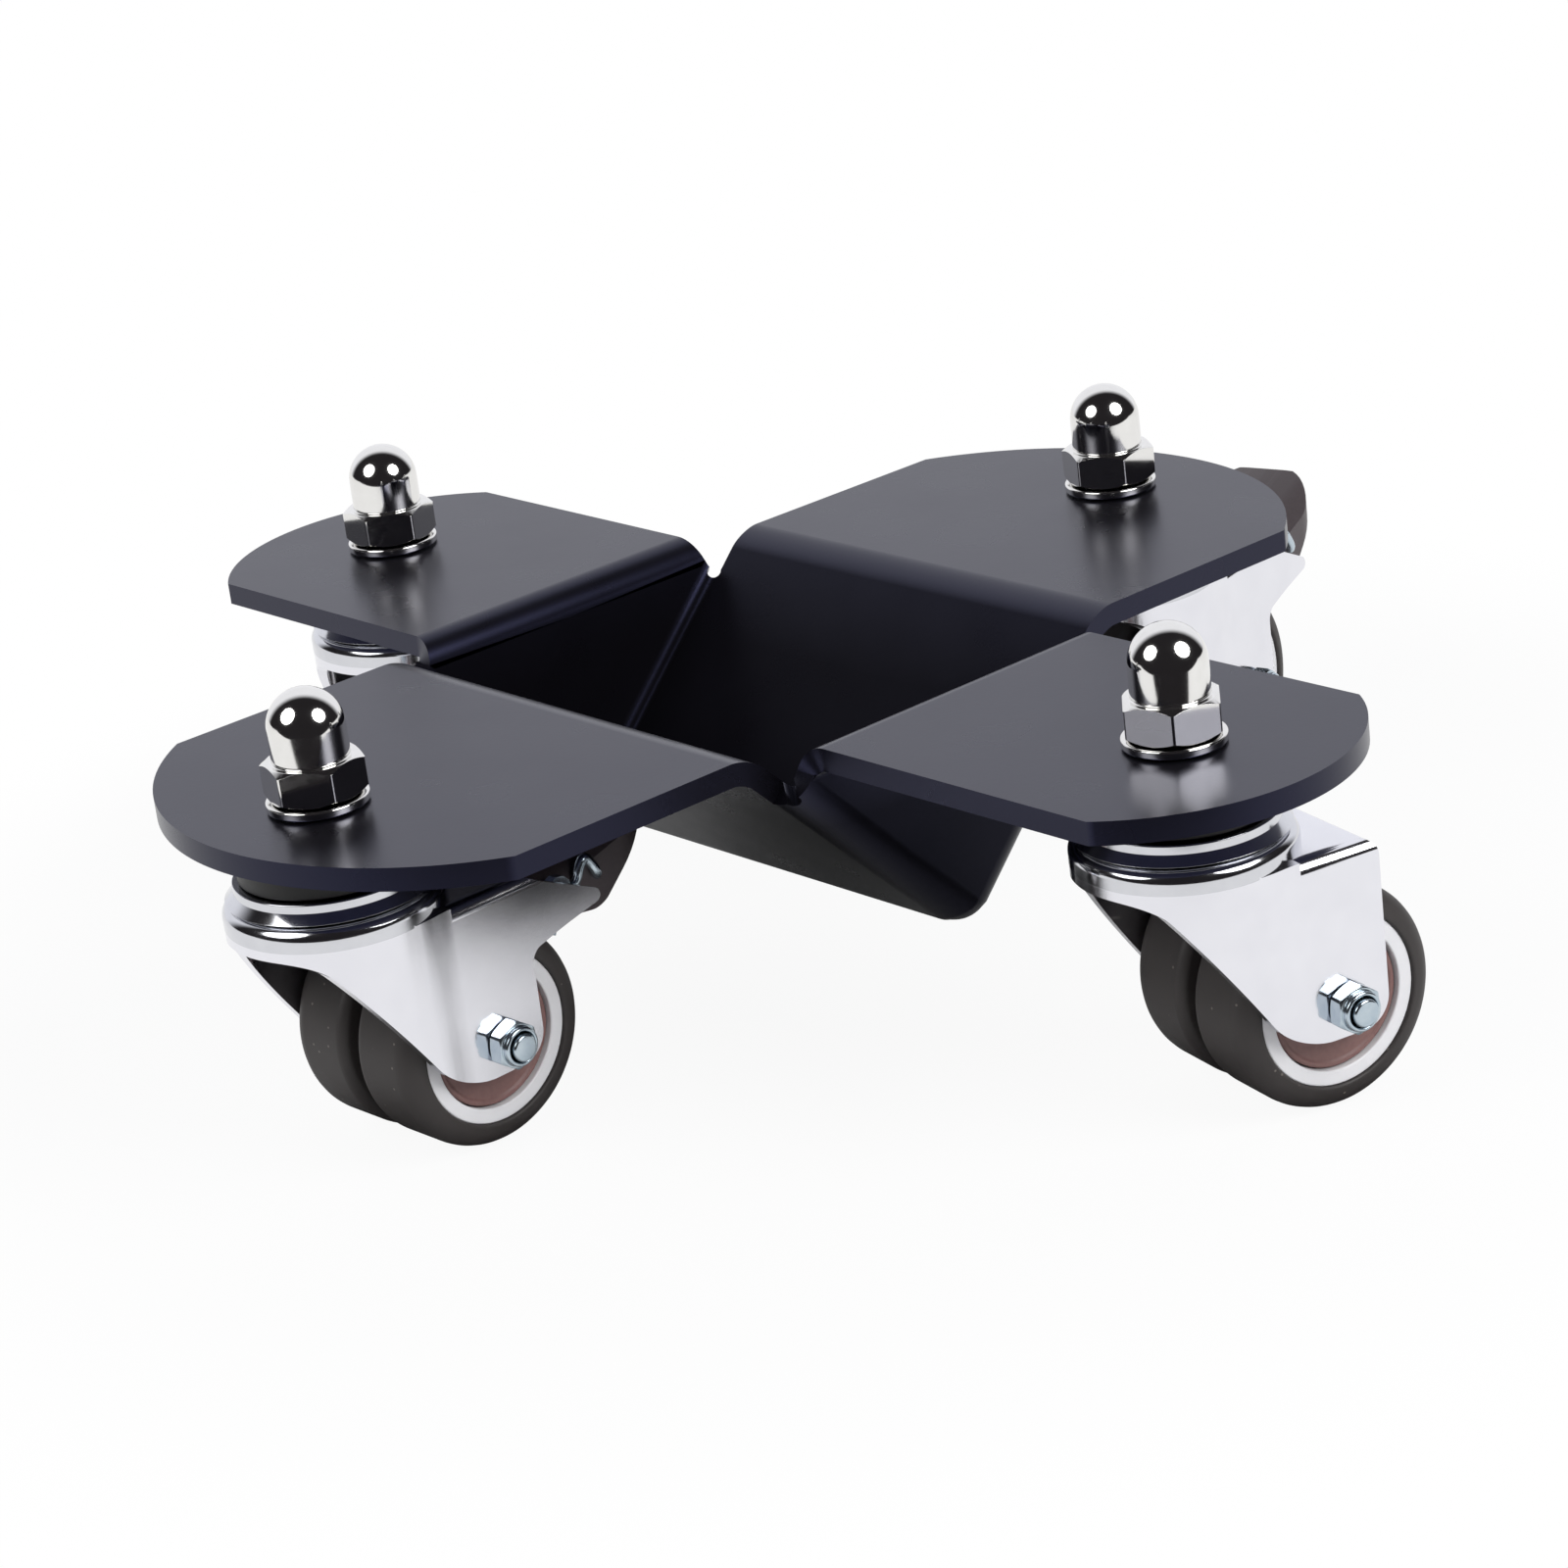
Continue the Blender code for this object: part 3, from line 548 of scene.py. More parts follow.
def tyre_elastomer():
    """Moulded thermoplastic rubber: dark taupe, dull, dusted with pale specks."""
    made = mottled(
        "taupe_thermoplastic_rubber", {"IOR": 1.5},
        size=5, detail=5, shades=("#2e2a29", "#3c3736"), roughness=(0.46, 0.62),
    )
    tree = made.node_tree
    base = tree.nodes["Principled BSDF"].inputs["Base Color"]
    cell = add(
        tree, "ShaderNodeTexVoronoi", {"Vector": own_place(tree), "Scale": per(3.2), "Randomness": 1.0}
    )
    speck = add(
        tree, "ShaderNodeMapRange",
        {"Value": cell.outputs["Distance"], "From Min": 0.05, "From Max": 0.09, "To Min": 0.55, "To Max": 0},
    )
    dusted = add(
        tree, "ShaderNodeMixRGB",
        {"Fac": speck.outputs["Result"], "Color1": base.links[0].from_socket, "Color2": colour("#8d867e")},
    )
    tree.links.new(dusted.outputs["Color"], base)
    return grained(made, size=0.6, detail=3, strength=0.3, depth=0.03)


def white_plastic():
    """White moulded polypropylene: milky, softly glossy, faintly uneven."""
    return mottled(
        "white_polypropylene", {"IOR": 1.49},
        size=4, detail=3, shades=("#f0f0f3", "#f8f8fa"), roughness=(0.3, 0.42),
    )


def brown_plastic():
    """Brown moulded polypropylene of the hub: dull, with a slightly grainy colour."""
    made = mottled(
        "brown_polypropylene", {"IOR": 1.49},
        size=0.9, detail=4, shades=("#7e5d5a", "#926f6a"), roughness=(0.4, 0.55),
    )
    return grained(made, size=0.9, detail=4, strength=0.3, depth=0.03)


def taupe_plastic():
    """Taupe moulded nylon of the pedals: half matt, with a fine moulded grain."""
    made = mottled(
        "taupe_moulded_nylon", {"IOR": 1.53},
        size=0.7, detail=3, shades=("#433b3e", "#4e4548"), roughness=(0.4, 0.52),
    )
    return grained(made, size=0.7, detail=3, strength=0.25, depth=0.02)


POWDER_COAT = powder_coat()
STAINLESS = stainless()
PLATED_SHEET = plated_sheet()
BRIGHT_PLATE = bright_plate()
BLUE_ZINC = blue_zinc()
BLACK_PLASTIC = black_plastic()
TYRE_ELASTOMER = tyre_elastomer()
WHITE_PLASTIC = white_plastic()
BROWN_PLASTIC = brown_plastic()
TAUPE_PLASTIC = taupe_plastic()


# Cradle plate


def bow(half_width, shoulder, sagitta, steps=28):
    """The rounded end of an ear, from its straight side to the middle of its tip, as (across, out)."""
    radius = (half_width**2 + sagitta**2) / (2 * sagitta)
    middle = shoulder + sagitta - radius
    half_angle = math.asin(half_width / radius)
    angles = [half_angle * (1 - step / steps) for step in range(steps + 1)]
    return [(radius * math.sin(a), middle + radius * math.cos(a)) for a in angles]


def folded_quarter():
    """A quarter of the cradle's top face, flat panels with a weight on each fold, and the widest bend."""
    side_half = SIDE_EAR_WIDTH / 2
    end_half = END_EAR_WIDTH / 2
    notch_half = TROUGH_DEPTH - NOTCH_DEPTH
    valley = (0, 0, -TROUGH_DEPTH)
    valley_end = (TROUGH_END, 0, -TROUGH_DEPTH)
    notch_outer = (TROUGH_END, notch_half, -NOTCH_DEPTH)
    notch_inner = (side_half, notch_half, -NOTCH_DEPTH)
    side_fold_end = (side_half, TROUGH_DEPTH, 0)
    side_fold = (0, TROUGH_DEPTH, 0)
    end_fold = (TROUGH_END, 0, 0)
    end_fold_end = (TROUGH_END, end_half, 0)
    side_bow = bow(side_half, TROUGH_DEPTH + SIDE_EAR_LENGTH, SIDE_EAR_BOW)
    end_bow = bow(end_half, TROUGH_END + END_EAR_LENGTH, END_EAR_BOW)
    panels = [
        [valley, valley_end, notch_outer, notch_inner, side_fold_end, side_fold],
        [side_fold, side_fold_end] + [(across, out, 0) for across, out in side_bow],
        [valley_end, end_fold, end_fold_end, notch_outer],
        [end_fold] + [(out, across, 0) for across, out in reversed(end_bow)] + [end_fold_end],
    ]
    folds = [
        (side_fold, side_fold_end, SIDE_BEND),
        (valley, valley_end, VALLEY_BEND),
        (end_fold, end_fold_end, END_BEND),
        (valley_end, notch_outer, CORNER_BEND),
    ]
    widest = max(reach for _, _, reach in folds)
    sheet = bmesh.new()
    corners = {}
    for panel in panels:
        for place in panel:
            if place not in corners:
                corners[place] = sheet.verts.new(place)
        sheet.faces.new([corners[place] for place in panel])
    weight = sheet.edges.layers.float.new("bevel_weight_edge")
    for first, last, reach in folds:
        sheet.edges.get((corners[first], corners[last]))[weight] = reach / widest
    return sheet, widest


def folded_cradle():
    sheet, widest = folded_quarter()
    sheet = worked(sheet, "MIRROR", {"use_axis": (True, True, False), "merge_threshold": TINY})
    sheet = worked(
        sheet, "BEVEL",
        {"limit_method": "WEIGHT", "width": widest, "segments": BEND_STEPS, "use_clamp_overlap": False},
    )
    sheet = worked(sheet, "SOLIDIFY", {"thickness": SHEET, "offset": -1, "use_even_offset": True})
    relief_out = TROUGH_END - CORNER_BEND / 2
    relief_along = TROUGH_DEPTH - NOTCH_DEPTH
    depth = SHEET + OVERSHOOT
    for across in (-1, 1):
        for along in (-1, 1):
            middle = Matrix.Translation((across * relief_out, along * relief_along, -NOTCH_DEPTH))
            out = Vector((across * math.sqrt(2), along, -1))
            turn = out.to_track_quat("Z", "Y").to_matrix().to_4x4()
            sheet = carved(sheet, moved(rod(RELIEF_RADIUS, -depth, depth), middle @ turn))
    return sheet


# Swivel head


def hexagon(flats, bottom, top):
    shape = rod(flats / math.sqrt(3), bottom, top, 6)
    upright = [edge for edge in shape.edges if abs(edge.verts[0].co.z - edge.verts[1].co.z) > TINY]
    return softened(shape, upright, HEX_EDGE, EDGE_STEPS)


def hex_radii(flats):
    """A blank's radii for a hexagon: inside its flats, and past its corners."""
    return flats / 2 - FACE_INSET, flats / math.sqrt(3) + CORNER_SPARE


def cap_nut():
    face, corner = hex_radii(NUT_FLATS)
    blank = turned(
        [
            (0, NUT_HEIGHT, 0),
            (DOME_RADIUS, NUT_HEIGHT, DOME_RADIUS - LEFT_OVER),
            (NECK_RADIUS, NUT_HEX_HEIGHT, 0.3),
            (face, NUT_HEX_HEIGHT, 0.1),
            (corner, NUT_HEX_HEIGHT - NUT_CHAMFER, 0),
            (corner, NUT_CHAMFER, 0),
            (face, 0, 0.15),
            (STEM_BORE, 0, 0.3),
            (STEM_BORE, NUT_HEIGHT - DOME_RADIUS, 0),
            (0, NUT_HEIGHT - DOME_RADIUS, 0),
        ],
        steps=12,
    )
    return carved(blank, hexagon(NUT_FLATS, -OVERSHOOT, NUT_HEIGHT + OVERSHOOT), "INTERSECT")


def ring(radius, under, top, mouth=0):
    """A flat ring round the stem, with rounded edges."""
    return turned(
        [
            (radius, top, RING_ROUND),
            (radius, under, RING_ROUND),
            (STEM_BORE, under, 0),
            (STEM_BORE, top, mouth),
        ]
    )


def riveted_stem():
    top = NUT_UNDER + NUT_HEIGHT - DOME_RADIUS - FIT_GAP
    rivet = CROWN_UNDER - FIT_GAP
    return turned(
        [
            (0, top, 0),
            (STEM_RADIUS, top, 0.8),
            (STEM_RADIUS, rivet, 0),
            (RIVET_RADIUS, rivet, 0.4),
            (RIVET_END_RADIUS, rivet - RIVET_HEIGHT, 1.2),
            (0, rivet - RIVET_HEIGHT, 0),
        ],
        sides=48,
    )


def race_cup():
    return turned(
        [
            (CUP_RADIUS, CUP_TOP, 0.25),
            (CUP_RADIUS, CUP_RIM, 0),
            (CUP_FLARE_RADIUS, CUP_FLARE, 0.1),
            (CUP_FLARE_RADIUS - CUP_SHEET, CUP_LIP, 0.2),
            (CUP_RADIUS - CUP_SHEET, CUP_UNDER, 0),
            (STEM_BORE, CUP_UNDER, 0),
            (STEM_BORE, CUP_TOP, 0),
        ]
    )


def raceway():
    """The rolled bead on the crown that holds the balls."""
    return turned(
        [
            (BEAD_RADIUS, RACEWAY_TOP, BEAD_ROUND),
            (BEAD_RADIUS, SHELF_TOP - BEAD_LAP, 0.1),
            (RACEWAY_MOUTH_RADIUS, SHELF_TOP - RACEWAY_LAP, 0),
            (STEM_BORE, SHELF_TOP - RACEWAY_LAP, 0),
            (STEM_BORE, RACEWAY_FLOOR, 0),
            (RACEWAY_FLOOR_RADIUS, RACEWAY_FLOOR, 0.8),
            (RACEWAY_MOUTH_RADIUS, RACEWAY_TOP, 0.6),
        ],
        sides=128,
        steps=10,
    )


# Fork


def cheek_corners(braked):
    """The fork from the side, as (back, up), with the brake's bracket behind it if it has one."""
    front = -FORK_OUTER - OVERSHOOT
    lower = [
        (front, CROWN_TOP, 0),
        (front, CROWN_UNDER, 0),
        (-CHEEK_LEAD, CROWN_UNDER, 4.0),
        (FORK_TRAIL - CHEEK_TOE, CHEEK_BOTTOM, 7.8),
        (CHEEK_REAR, CHEEK_BOTTOM, 5.5),
    ]
    plain = [(CHEEK_REAR, SHELF_TOP, 3.0)]
    bracket = [
        (CHEEK_REAR, PIVOT_HEIGHT - 5.6, 2.2),
        (PIVOT_BACK - 4, PIVOT_HEIGHT - 3.6, 2.2),
        (BRACKET_END, PIVOT_HEIGHT - 1.6, 1.0),
        (BRACKET_END, PIVOT_HEIGHT + 0.4, 1.0),
        (PIVOT_BACK - 5.6, PIVOT_HEIGHT + 5.6, 2.0),
        (CHEEK_REAR, SHELF_TOP, 2.5),
    ]
    step_up = [(CROWN_STEP_FOOT, SHELF_TOP, 0), (CROWN_STEP_TOP, CROWN_TOP, 0)]
    return lower + (bracket if braked else plain) + step_up


def fork_front():
    """The outside of the fork, round in front of the stem and stepped in a little to its cheeks."""
    half = [
        (FORK_FRONT, -FORK_FRONT, FORK_FRONT - LEFT_OVER),
        (FORK_FRONT, JOGGLE_START, JOGGLE_BEND),
        (FORK_OUTER, JOGGLE_END, JOGGLE_BEND),
        (FORK_OUTER, SHELF_START, 0),
    ]
    return slab(with_left(half), 0, CROWN_TOP + OVERSHOOT / 2, steps=32)


def fork_hollow(rear):
    """The inside of the fork, round in front of the stem and straight behind it."""
    corners = oblong(FORK_INNER, -FORK_INNER, rear, front_reach=FORK_INNER - LEFT_OVER)
    return slab(corners, -OVERSHOOT, CROWN_UNDER, steps=32)


def fork_shelf(rear):
    """The straight part behind the stem, with the bend from its shelf to its cheeks."""
    shape = slab(oblong(FORK_OUTER, SHELF_START - SHELF_LAP, rear), 0, SHELF_TOP)
    bends = [
        edge for edge in shape.edges
        if all(point.co.z > TINY for point in edge.verts)
        and abs(edge.verts[0].co.x - edge.verts[1].co.x) < TINY
    ]
    return softened(shape, bends, SHELF_BEND, 8)


def pressed_fork(braked):
    rear = BRACKET_END + OVERSHOOT
    across = FORK_OUTER + OVERSHOOT
    shape = moved(slab(cheek_corners(braked), -across, across, steps=16), SIDEWAYS)
    block = carved(fork_front(), fork_shelf(rear), "UNION")
    shape = carved(shape, block, "INTERSECT")
    shape = carved(shape, fork_hollow(rear + OVERSHOOT))
    shape = carved(shape, rod(STEM_BORE, CROWN_UNDER - OVERSHOOT, CROWN_TOP + OVERSHOOT))
    axle = Matrix.Translation((0, FORK_TRAIL, AXLE_HEIGHT)) @ ALONG_AXLE
    return carved(shape, moved(rod(AXLE_BORE, -across, across), axle))


# Axle and wheel, turned round the axle


def hex_bolt():
    shank = turned(
        [
            (0, AXLE_END, 0),
            (AXLE_RADIUS, AXLE_END, 0.5),
            (AXLE_RADIUS, -AXLE_SEAT - BOLT_HEAD_LAP, 0),
            (0, -AXLE_SEAT - BOLT_HEAD_LAP, 0),
        ],
        sides=48,
    )
    face, corner = hex_radii(AXLE_NUT_FLATS)
    end = -AXLE_SEAT - BOLT_HEAD
    head = turned(
        [
            (0, -AXLE_SEAT, 0),
            (corner, -AXLE_SEAT, 0),
            (corner, end + BOLT_HEAD_CHAMFER, 0),
            (face, end, 0.15),
            (0, end, 0),
        ],
        sides=48,
    )
    hexagonal = hexagon(AXLE_NUT_FLATS, -AXLE_SEAT - 3 * OVERSHOOT, -AXLE_SEAT + OVERSHOOT)
    return carved(shank, carved(head, hexagonal, "INTERSECT"), "UNION")


def lock_nut():
    face, corner = hex_radii(AXLE_NUT_FLATS)
    blank = turned(
        [
            (AXLE_COLLAR_RADIUS, AXLE_NUT_TOP, 0.5),
            (AXLE_COLLAR_RADIUS, AXLE_HEX_TOP, 0.15),
            (face, AXLE_HEX_TOP, 0.1),
            (corner, AXLE_HEX_TOP - AXLE_NUT_CHAMFER, 0),
            (corner, AXLE_SEAT + AXLE_NUT_CHAMFER, 0),
            (face, AXLE_SEAT, 0.1),
            (AXLE_BORE, AXLE_SEAT, 0),
            (AXLE_BORE, AXLE_NUT_TOP, 0.3),
        ],
        sides=64,
    )
    hexagonal = hexagon(AXLE_NUT_FLATS, AXLE_SEAT - OVERSHOOT, AXLE_NUT_TOP + OVERSHOOT)
    return carved(blank, hexagonal, "INTERSECT")


def twin_tyre():
    half = [
        (RIM_RADIUS, WHEEL_HALF, 0.5),
        (WHEEL_RADIUS, WHEEL_HALF, TYRE_SHOULDER),
        (WHEEL_RADIUS, GROOVE_HALF, GROOVE_LIP),
        (WHEEL_RADIUS - GROOVE_DEPTH, GROOVE_FLOOR_HALF, 0.3),
    ]
    return turned(with_lower(half), sides=160, steps=8)


def wheel_rim():
    half = [
        (RIM_WEB_RADIUS, RIM_WEB_HALF, 0),
        (RIM_BORE, RIM_WEB_HALF, 0.4),
        (RIM_BORE, RIM_HALF, RIM_ROUND),
        (RIM_RADIUS, RIM_HALF, RIM_ROUND),
    ]
    return turned(with_lower(half), sides=128)


def wheel_hub():
    outer = RIM_BORE - FIT_GAP
    dish = HUB_HALF - HUB_DISH
    flange = HUB_HALF - HUB_FLANGE
    half = [
        (HUB_BORE, HUB_HALF, HUB_ROUND),
        (HUB_BOSS_RADIUS, HUB_HALF, HUB_ROUND),
        (HUB_DISH_INNER, dish, HUB_ROUND),
        (HUB_DISH_OUTER, dish, HUB_ROUND),
        (HUB_LIP_RADIUS, HUB_HALF, HUB_ROUND),
        (outer, HUB_HALF, 0.3),
        (outer, flange, HUB_ROUND),
        (HUB_WAIST_RADIUS, flange, HUB_ROUND),
    ]
    return turned(with_lower(half), sides=128, steps=3)


# Brake, from its pivot


def foot_pedal():
    half = PEDAL_WIDTH / 2
    plan = oblong(half, PEDAL_ROOT, PEDAL_REACH, rear_reach=PEDAL_CORNER)
    shape = moved(slab(PEDAL_SIDE, -half - OVERSHOOT, half + OVERSHOOT), SIDEWAYS)
    shape = carved(shape, slab(plan, -PEDAL_TALL, PEDAL_TALL, steps=12), "INTERSECT")
    crown = moved(slab(with_left(HALF_CROWN), *PEDAL_CROWN_SPAN), UP_THE_PEDAL)
    shape = carved(shape, crown, "INTERSECT")
    bore_half = half + 2 * OVERSHOOT
    return carved(shape, moved(rod(PIN_BORE, -bore_half, bore_half), ALONG_AXLE))


def pivot_pin():
    """The pin, its ends hidden inside the cheeks."""
    end = FORK_OUTER - FIT_GAP
    return turned(with_lower([(0, end, 0), (PIN_RADIUS, end, 0.1)]), sides=48)


def bent_wire(points, radius):
    """A round wire through its points, in smooth bends."""
    curve = bpy.data.curves.new("wire", "CURVE")
    curve.dimensions = "3D"
    curve.bevel_depth = radius
    curve.bevel_resolution = 5
    curve.resolution_u = 8
    curve.use_fill_caps = True
    path = curve.splines.new("BEZIER")
    path.bezier_points.add(len(points) - 1)
    for knot, place in zip(path.bezier_points, points):
        knot.co = place
        knot.handle_left_type = "AUTO"
        knot.handle_right_type = "AUTO"
    body = new_object("wire", curve)
    bpy.context.view_layer.update()
    mesh = bpy.data.meshes.new_from_object(body.evaluated_get(bpy.context.evaluated_depsgraph_get()))
    bpy.data.objects.remove(body)
    bpy.data.curves.remove(curve)
    done = bmesh.new()
    done.from_mesh(mesh)
    bpy.data.meshes.remove(mesh)
    bmesh.ops.remove_doubles(done, verts=done.verts, dist=TINY)
    bmesh.ops.recalc_face_normals(done, faces=done.faces)
    return done


def spring_leg():
    """The end of the return spring, hooked over the root of the pedal."""
    flank = PEDAL_WIDTH / 2
    return bent_wire([(flank + out, back, up) for out, back, up in SPRING_POINTS], SPRING_RADIUS)


# Assembly


joints = {joint["name"]: joint for joint in frame["joints"]}
to_metres = Matrix.Scale(MM, 4)
low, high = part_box("cradle_plate")
plate_middle = ((low.x + high.x) / 2, (low.y + high.y) / 2)


def dress_cradle():
    place = Matrix.Translation((*plate_middle, PLATE_TOP * MM)) @ to_metres
    add_piece(
        "folded_cradle", folded_cradle(), place, POWDER_COAT,
        "cradle_plate", ["cradle_plate"], edge=PLATE_EDGE,
    )


def dress_caster(caster):
    stem_x, stem_y, _ = joints[f"{caster}_swivel"]["pos_m"]
    ear = Matrix.Translation((stem_x, stem_y, 0)) @ to_metres
    across = Vector(joints[f"{caster}_roll"]["axis"])
    heading = Matrix.Rotation(math.atan2(across.y, across.x), 4, "Z")
    swivel = ear @ heading
    axle = swivel @ Matrix.Translation((0, FORK_TRAIL, AXLE_HEIGHT)) @ ALONG_AXLE
    braked = f"{caster}_brake_press" in joints

    nut_turn = Matrix.Rotation(math.radians(NUT_TURNS[caster]), 4, "Z")
    nut_place = ear @ Matrix.Translation((0, 0, NUT_UNDER)) @ nut_turn
    lock_nut_place = axle @ Matrix.Rotation(math.radians(LOCK_NUT_TURN), 4, "Z")
    washer = ring(WASHER_RADIUS, WASHER_UNDER, WASHER_UNDER + WASHER_THICKNESS, WASHER_MOUTH)
    spacer = ring(SPACER_RADIUS, SPACER_UNDER, SPACER_TOP)
    fork = pressed_fork(braked)
    rows = [
        ("cap_nut", cap_nut(), nut_place, STAINLESS, "nut_steel", "dome_nut", FASTENER_EDGE),
        ("flat_washer", washer, ear, STAINLESS, "nut_steel", "washer", 0),
        ("riveted_stem", riveted_stem(), ear, BLUE_ZINC, "zinc_steel", "stem", 0),
        ("stand_off", spacer, ear, BLACK_PLASTIC, "spacer_black", "spacer", 0),
        ("race_cup", race_cup(), ear, BRIGHT_PLATE, "plated_steel", "swivel_cup", 0),
        ("pressed_fork", fork, swivel, PLATED_SHEET, "plated_steel", "fork", FORK_EDGE),
        ("hex_bolt", hex_bolt(), axle, BLUE_ZINC, "zinc_steel", "axle_bolt", FASTENER_EDGE),
        ("lock_nut", lock_nut(), lock_nut_place, BLUE_ZINC, "zinc_steel", "axle_nut", FASTENER_EDGE),
        ("twin_tyre", twin_tyre(), axle, TYRE_ELASTOMER, "tyre_taupe", "tyre", 0),
        ("wheel_rim", wheel_rim(), axle, WHITE_PLASTIC, "rim_white", "rim", 0),
        ("wheel_hub", wheel_hub(), axle, BROWN_PLASTIC, "hub_brown", "hub", 0),
    ]
    bare_nodes = ["ball_race", "axle_sleeve"]
    if braked:
        pivot = swivel @ Matrix.Translation((0, PIVOT_BACK, PIVOT_HEIGHT))
        pin_place = pivot @ ALONG_AXLE
        rows += [
            ("foot_pedal", foot_pedal(), pivot, TAUPE_PLASTIC, "pedal_taupe", "brake_pedal", PEDAL_EDGE),
            ("pivot_pin", pivot_pin(), pin_place, PLATED_SHEET, "zinc_steel", "brake_pin", 0),
        ]
        add_piece(
            f"{caster}_spring_leg", spring_leg(), pivot, BLUE_ZINC, f"{caster}_brake_pedal"
        )
        bare_nodes.append("brake_shoe")
    for name, shape, place, finish, slot, node, edge in rows:
        cad_node = f"{caster}_{node}"
        add_piece(f"{caster}_{name}", shape, place, finish, cad_node, [cad_node], edge)
    add_piece(f"{caster}_raceway", raceway(), swivel, BRIGHT_PLATE, f"{caster}_fork")
    for node in bare_nodes:
        frame["nodes"][f"{caster}_{node}"].material_slots[0].material = BLUE_ZINC


dress_cradle()
for caster_name in NUT_TURNS:
    dress_caster(caster_name)


# Studio, in metres and degrees

CAMERA_AZIMUTH = math.radians(-39.44)
CAMERA_ELEVATION = math.radians(20.72)
CAMERA_ROLL = math.radians(7.13)
CAMERA_LENS = 96.25
SENSOR_WIDTH = 36
CAMERA_SHIFT_RIGHT = 0.00722
CAMERA_SHIFT_DOWN = 0.0275
CAMERA_DISTANCE = 0.770

# Azimuth, elevation and power of each softbox
SOFTBOXES = {"left_softbox": (-99, 37, 3.7), "right_softbox": (11, 36, 6.4)}
SOFTBOX_DISTANCE = 0.95
SOFTBOX_SIZE = 0.64
SOFTBOX_AIM = 0.05

FLOOR_HALF = 3
FLOOR_FRONT = 0.26
FLOOR_DROP = 0.0002
WHITE = "#ffffff"

# The floor's white: in reflections its glow is dimmed by painted shade where the object stands close
# over it, and to the camera it gives way a little to the shadow near the object
SHADE_REACH = 0.06
SHADE_FULL = 0.54
SHADE_NONE = 0.92
REFLECTED_WHITE = 0.88
NEAR_WHITE = 0.93
SHADOW_NEAR = 0.16
SHADOW_FAR = 0.25

# The backdrop: its middle's elevation, and how far from there it is still white and already dark
BACKDROP_ELEVATION = 12
BACKDROP_WHITE = 44
BACKDROP_DARK = 66


def pointing(azimuth, elevation):
    """The direction at an azimuth and an elevation, from the object out."""
    return Vector(
        (
            math.cos(azimuth) * math.cos(elevation),
            math.sin(azimuth) * math.cos(elevation),
            math.sin(elevation),
        )
    )


def set_camera():
    outward = pointing(CAMERA_AZIMUTH, CAMERA_ELEVATION)
    level = Vector((-math.sin(CAMERA_AZIMUTH), math.cos(CAMERA_AZIMUTH), 0))
    upward = outward.cross(level)
    right = math.cos(CAMERA_ROLL) * level - math.sin(CAMERA_ROLL) * upward
    top = math.cos(CAMERA_ROLL) * upward + math.sin(CAMERA_ROLL) * level
    middle = Vector((*plate_middle, PLATE_TOP * MM))
    data = bpy.data.cameras.new("camera")
    data.lens = CAMERA_LENS
    data.sensor_width = SENSOR_WIDTH
    camera = new_object("camera", data)
    turn = Matrix((right, top, outward)).transposed()
    place = middle + right * CAMERA_SHIFT_RIGHT - top * CAMERA_SHIFT_DOWN + outward * CAMERA_DISTANCE
    camera.matrix_world = Matrix.Translation(place) @ turn.to_4x4()
    bpy.context.scene.camera = camera


def set_softbox(name, azimuth, elevation, power):
    data = bpy.data.lights.new(name, "AREA")
    data.shape = "DISK"
    data.size = SOFTBOX_SIZE
    data.energy = power
    light = new_object(name, data)
    outward = pointing(math.radians(azimuth), math.radians(elevation))
    light.location = outward * SOFTBOX_DISTANCE + Vector((0, 0, SOFTBOX_AIM))
    light.rotation_euler = outward.to_track_quat("Z", "Y").to_euler()


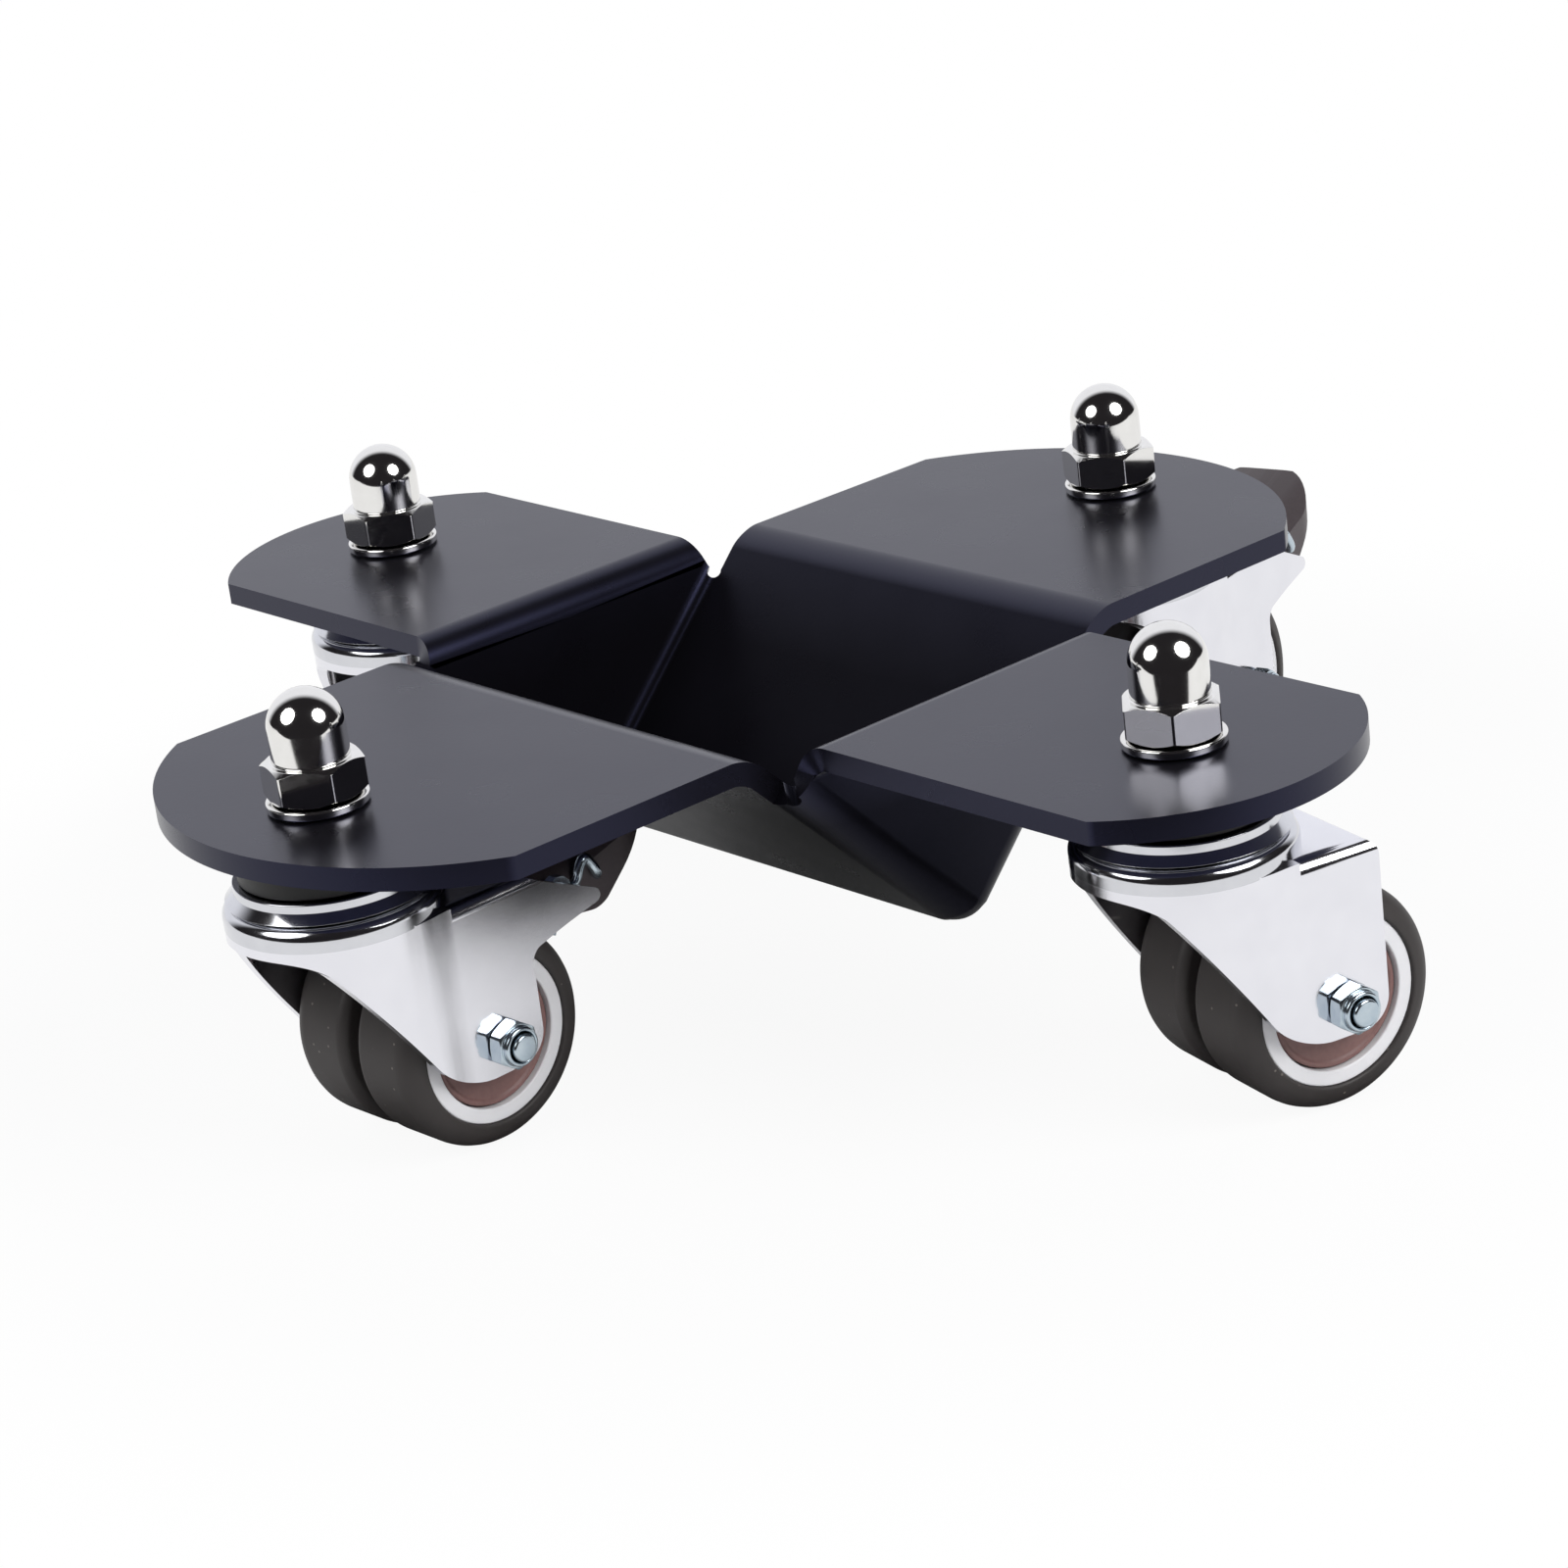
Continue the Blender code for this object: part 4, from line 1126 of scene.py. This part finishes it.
def floor_paper():
    """White paper that shows as white as the backdrop, but for the object's soft shadow."""
    made = bpy.data.materials.new("white_paper_floor")
    made.use_nodes = True
    tree = made.node_tree
    tree.nodes.remove(tree.nodes["Principled BSDF"])
    paper = add(tree, "ShaderNodeBsdfDiffuse", {"Color": colour("#f4f4f5")})
    path = add(tree, "ShaderNodeLightPath")
    # Painted shade: ambient occlusion dims the glow that reflections show of the floor near the object.
    openness = add(tree, "ShaderNodeAmbientOcclusion", {"Distance": SHADE_REACH}, samples=8)
    clear = add(
        tree, "ShaderNodeMapRange",
        {"Value": openness.outputs["AO"], "From Min": SHADE_FULL, "From Max": SHADE_NONE},
        interpolation_type="SMOOTHSTEP",
    )
    strength = add(
        tree, "ShaderNodeMath", {0: path.outputs["Is Camera Ray"], 1: clear.outputs["Result"]},
        operation="MAXIMUM",
    )
    glow = add(
        tree, "ShaderNodeEmission", {"Color": colour(WHITE), "Strength": strength.outputs["Value"]}
    )
    mirrored = add(
        tree, "ShaderNodeMath",
        {0: path.outputs["Is Glossy Ray"], 1: path.outputs["Is Transmission Ray"]}, operation="ADD",
    )
    weaker = add(
        tree, "ShaderNodeMath", {0: mirrored.outputs["Value"], 1: REFLECTED_WHITE}, operation="MULTIPLY"
    )
    away = add(tree, "ShaderNodeVectorMath", {0: own_place(tree)}, operation="LENGTH")
    whiter = add(
        tree, "ShaderNodeMapRange",
        {
            "Value": away.outputs["Value"],
            "From Min": SHADOW_NEAR,
            "From Max": SHADOW_FAR,
            "To Min": NEAR_WHITE,
            "To Max": 1,
        },
        interpolation_type="SMOOTHSTEP",
    )
    shown = add(
        tree, "ShaderNodeMath",
        {0: path.outputs["Is Camera Ray"], 1: whiter.outputs["Result"], 2: weaker.outputs["Value"]},
        operation="MULTIPLY_ADD",
    )
    mixed = add(
        tree, "ShaderNodeMixShader",
        {0: shown.outputs["Value"], 1: paper.outputs["BSDF"], 2: glow.outputs["Emission"]},
    )
    tree.links.new(mixed.outputs["Shader"], tree.nodes["Material Output"].inputs["Surface"])
    return made


def set_floor():
    shape = bmesh.new()
    bmesh.ops.create_grid(shape, x_segments=1, y_segments=1, size=FLOOR_HALF)
    bmesh.ops.translate(shape, verts=shape.verts, vec=(FLOOR_FRONT - FLOOR_HALF, 0, -FLOOR_DROP))
    facing_camera = Matrix.Rotation(CAMERA_AZIMUTH, 3, "Z")
    bmesh.ops.rotate(shape, cent=(0, 0, 0), matrix=facing_camera, verts=shape.verts)
    mesh = new_mesh("floor", shape)
    mesh.materials.append(floor_paper())
    new_object("floor", mesh)


def set_world():
    """A white backdrop that wraps round behind the object, and a dark room in front of it."""
    world = bpy.data.worlds.new("studio")
    bpy.context.scene.world = world
    world.use_nodes = True
    tree = world.node_tree
    direction = add(tree, "ShaderNodeTexCoord").outputs["Generated"]
    behind = pointing(CAMERA_AZIMUTH + math.pi, math.radians(BACKDROP_ELEVATION))
    facing = add(tree, "ShaderNodeVectorMath", {0: direction, 1: behind}, operation="DOT_PRODUCT")
    wrap = add(
        tree, "ShaderNodeMapRange",
        {
            "Value": facing.outputs["Value"],
            "From Min": math.cos(math.radians(BACKDROP_DARK)),
            "From Max": math.cos(math.radians(BACKDROP_WHITE)),
        },
        interpolation_type="SMOOTHSTEP",
    )
    room = add(
        tree, "ShaderNodeMixRGB",
        {"Fac": wrap.outputs["Result"], "Color1": colour("#262426"), "Color2": colour("#f9faff")},
    )
    path = add(tree, "ShaderNodeLightPath")
    seen = add(
        tree, "ShaderNodeMixRGB",
        {"Fac": path.outputs["Is Camera Ray"], "Color1": room.outputs["Color"], "Color2": colour(WHITE)},
    )
    background = tree.nodes["Background"]
    tree.links.new(seen.outputs["Color"], background.inputs["Color"])


set_camera()
for softbox_name, (softbox_azimuth, softbox_elevation, softbox_power) in SOFTBOXES.items():
    set_softbox(softbox_name, softbox_azimuth, softbox_elevation, softbox_power)
set_floor()
set_world()
bpy.context.scene.view_settings.view_transform = "Standard"
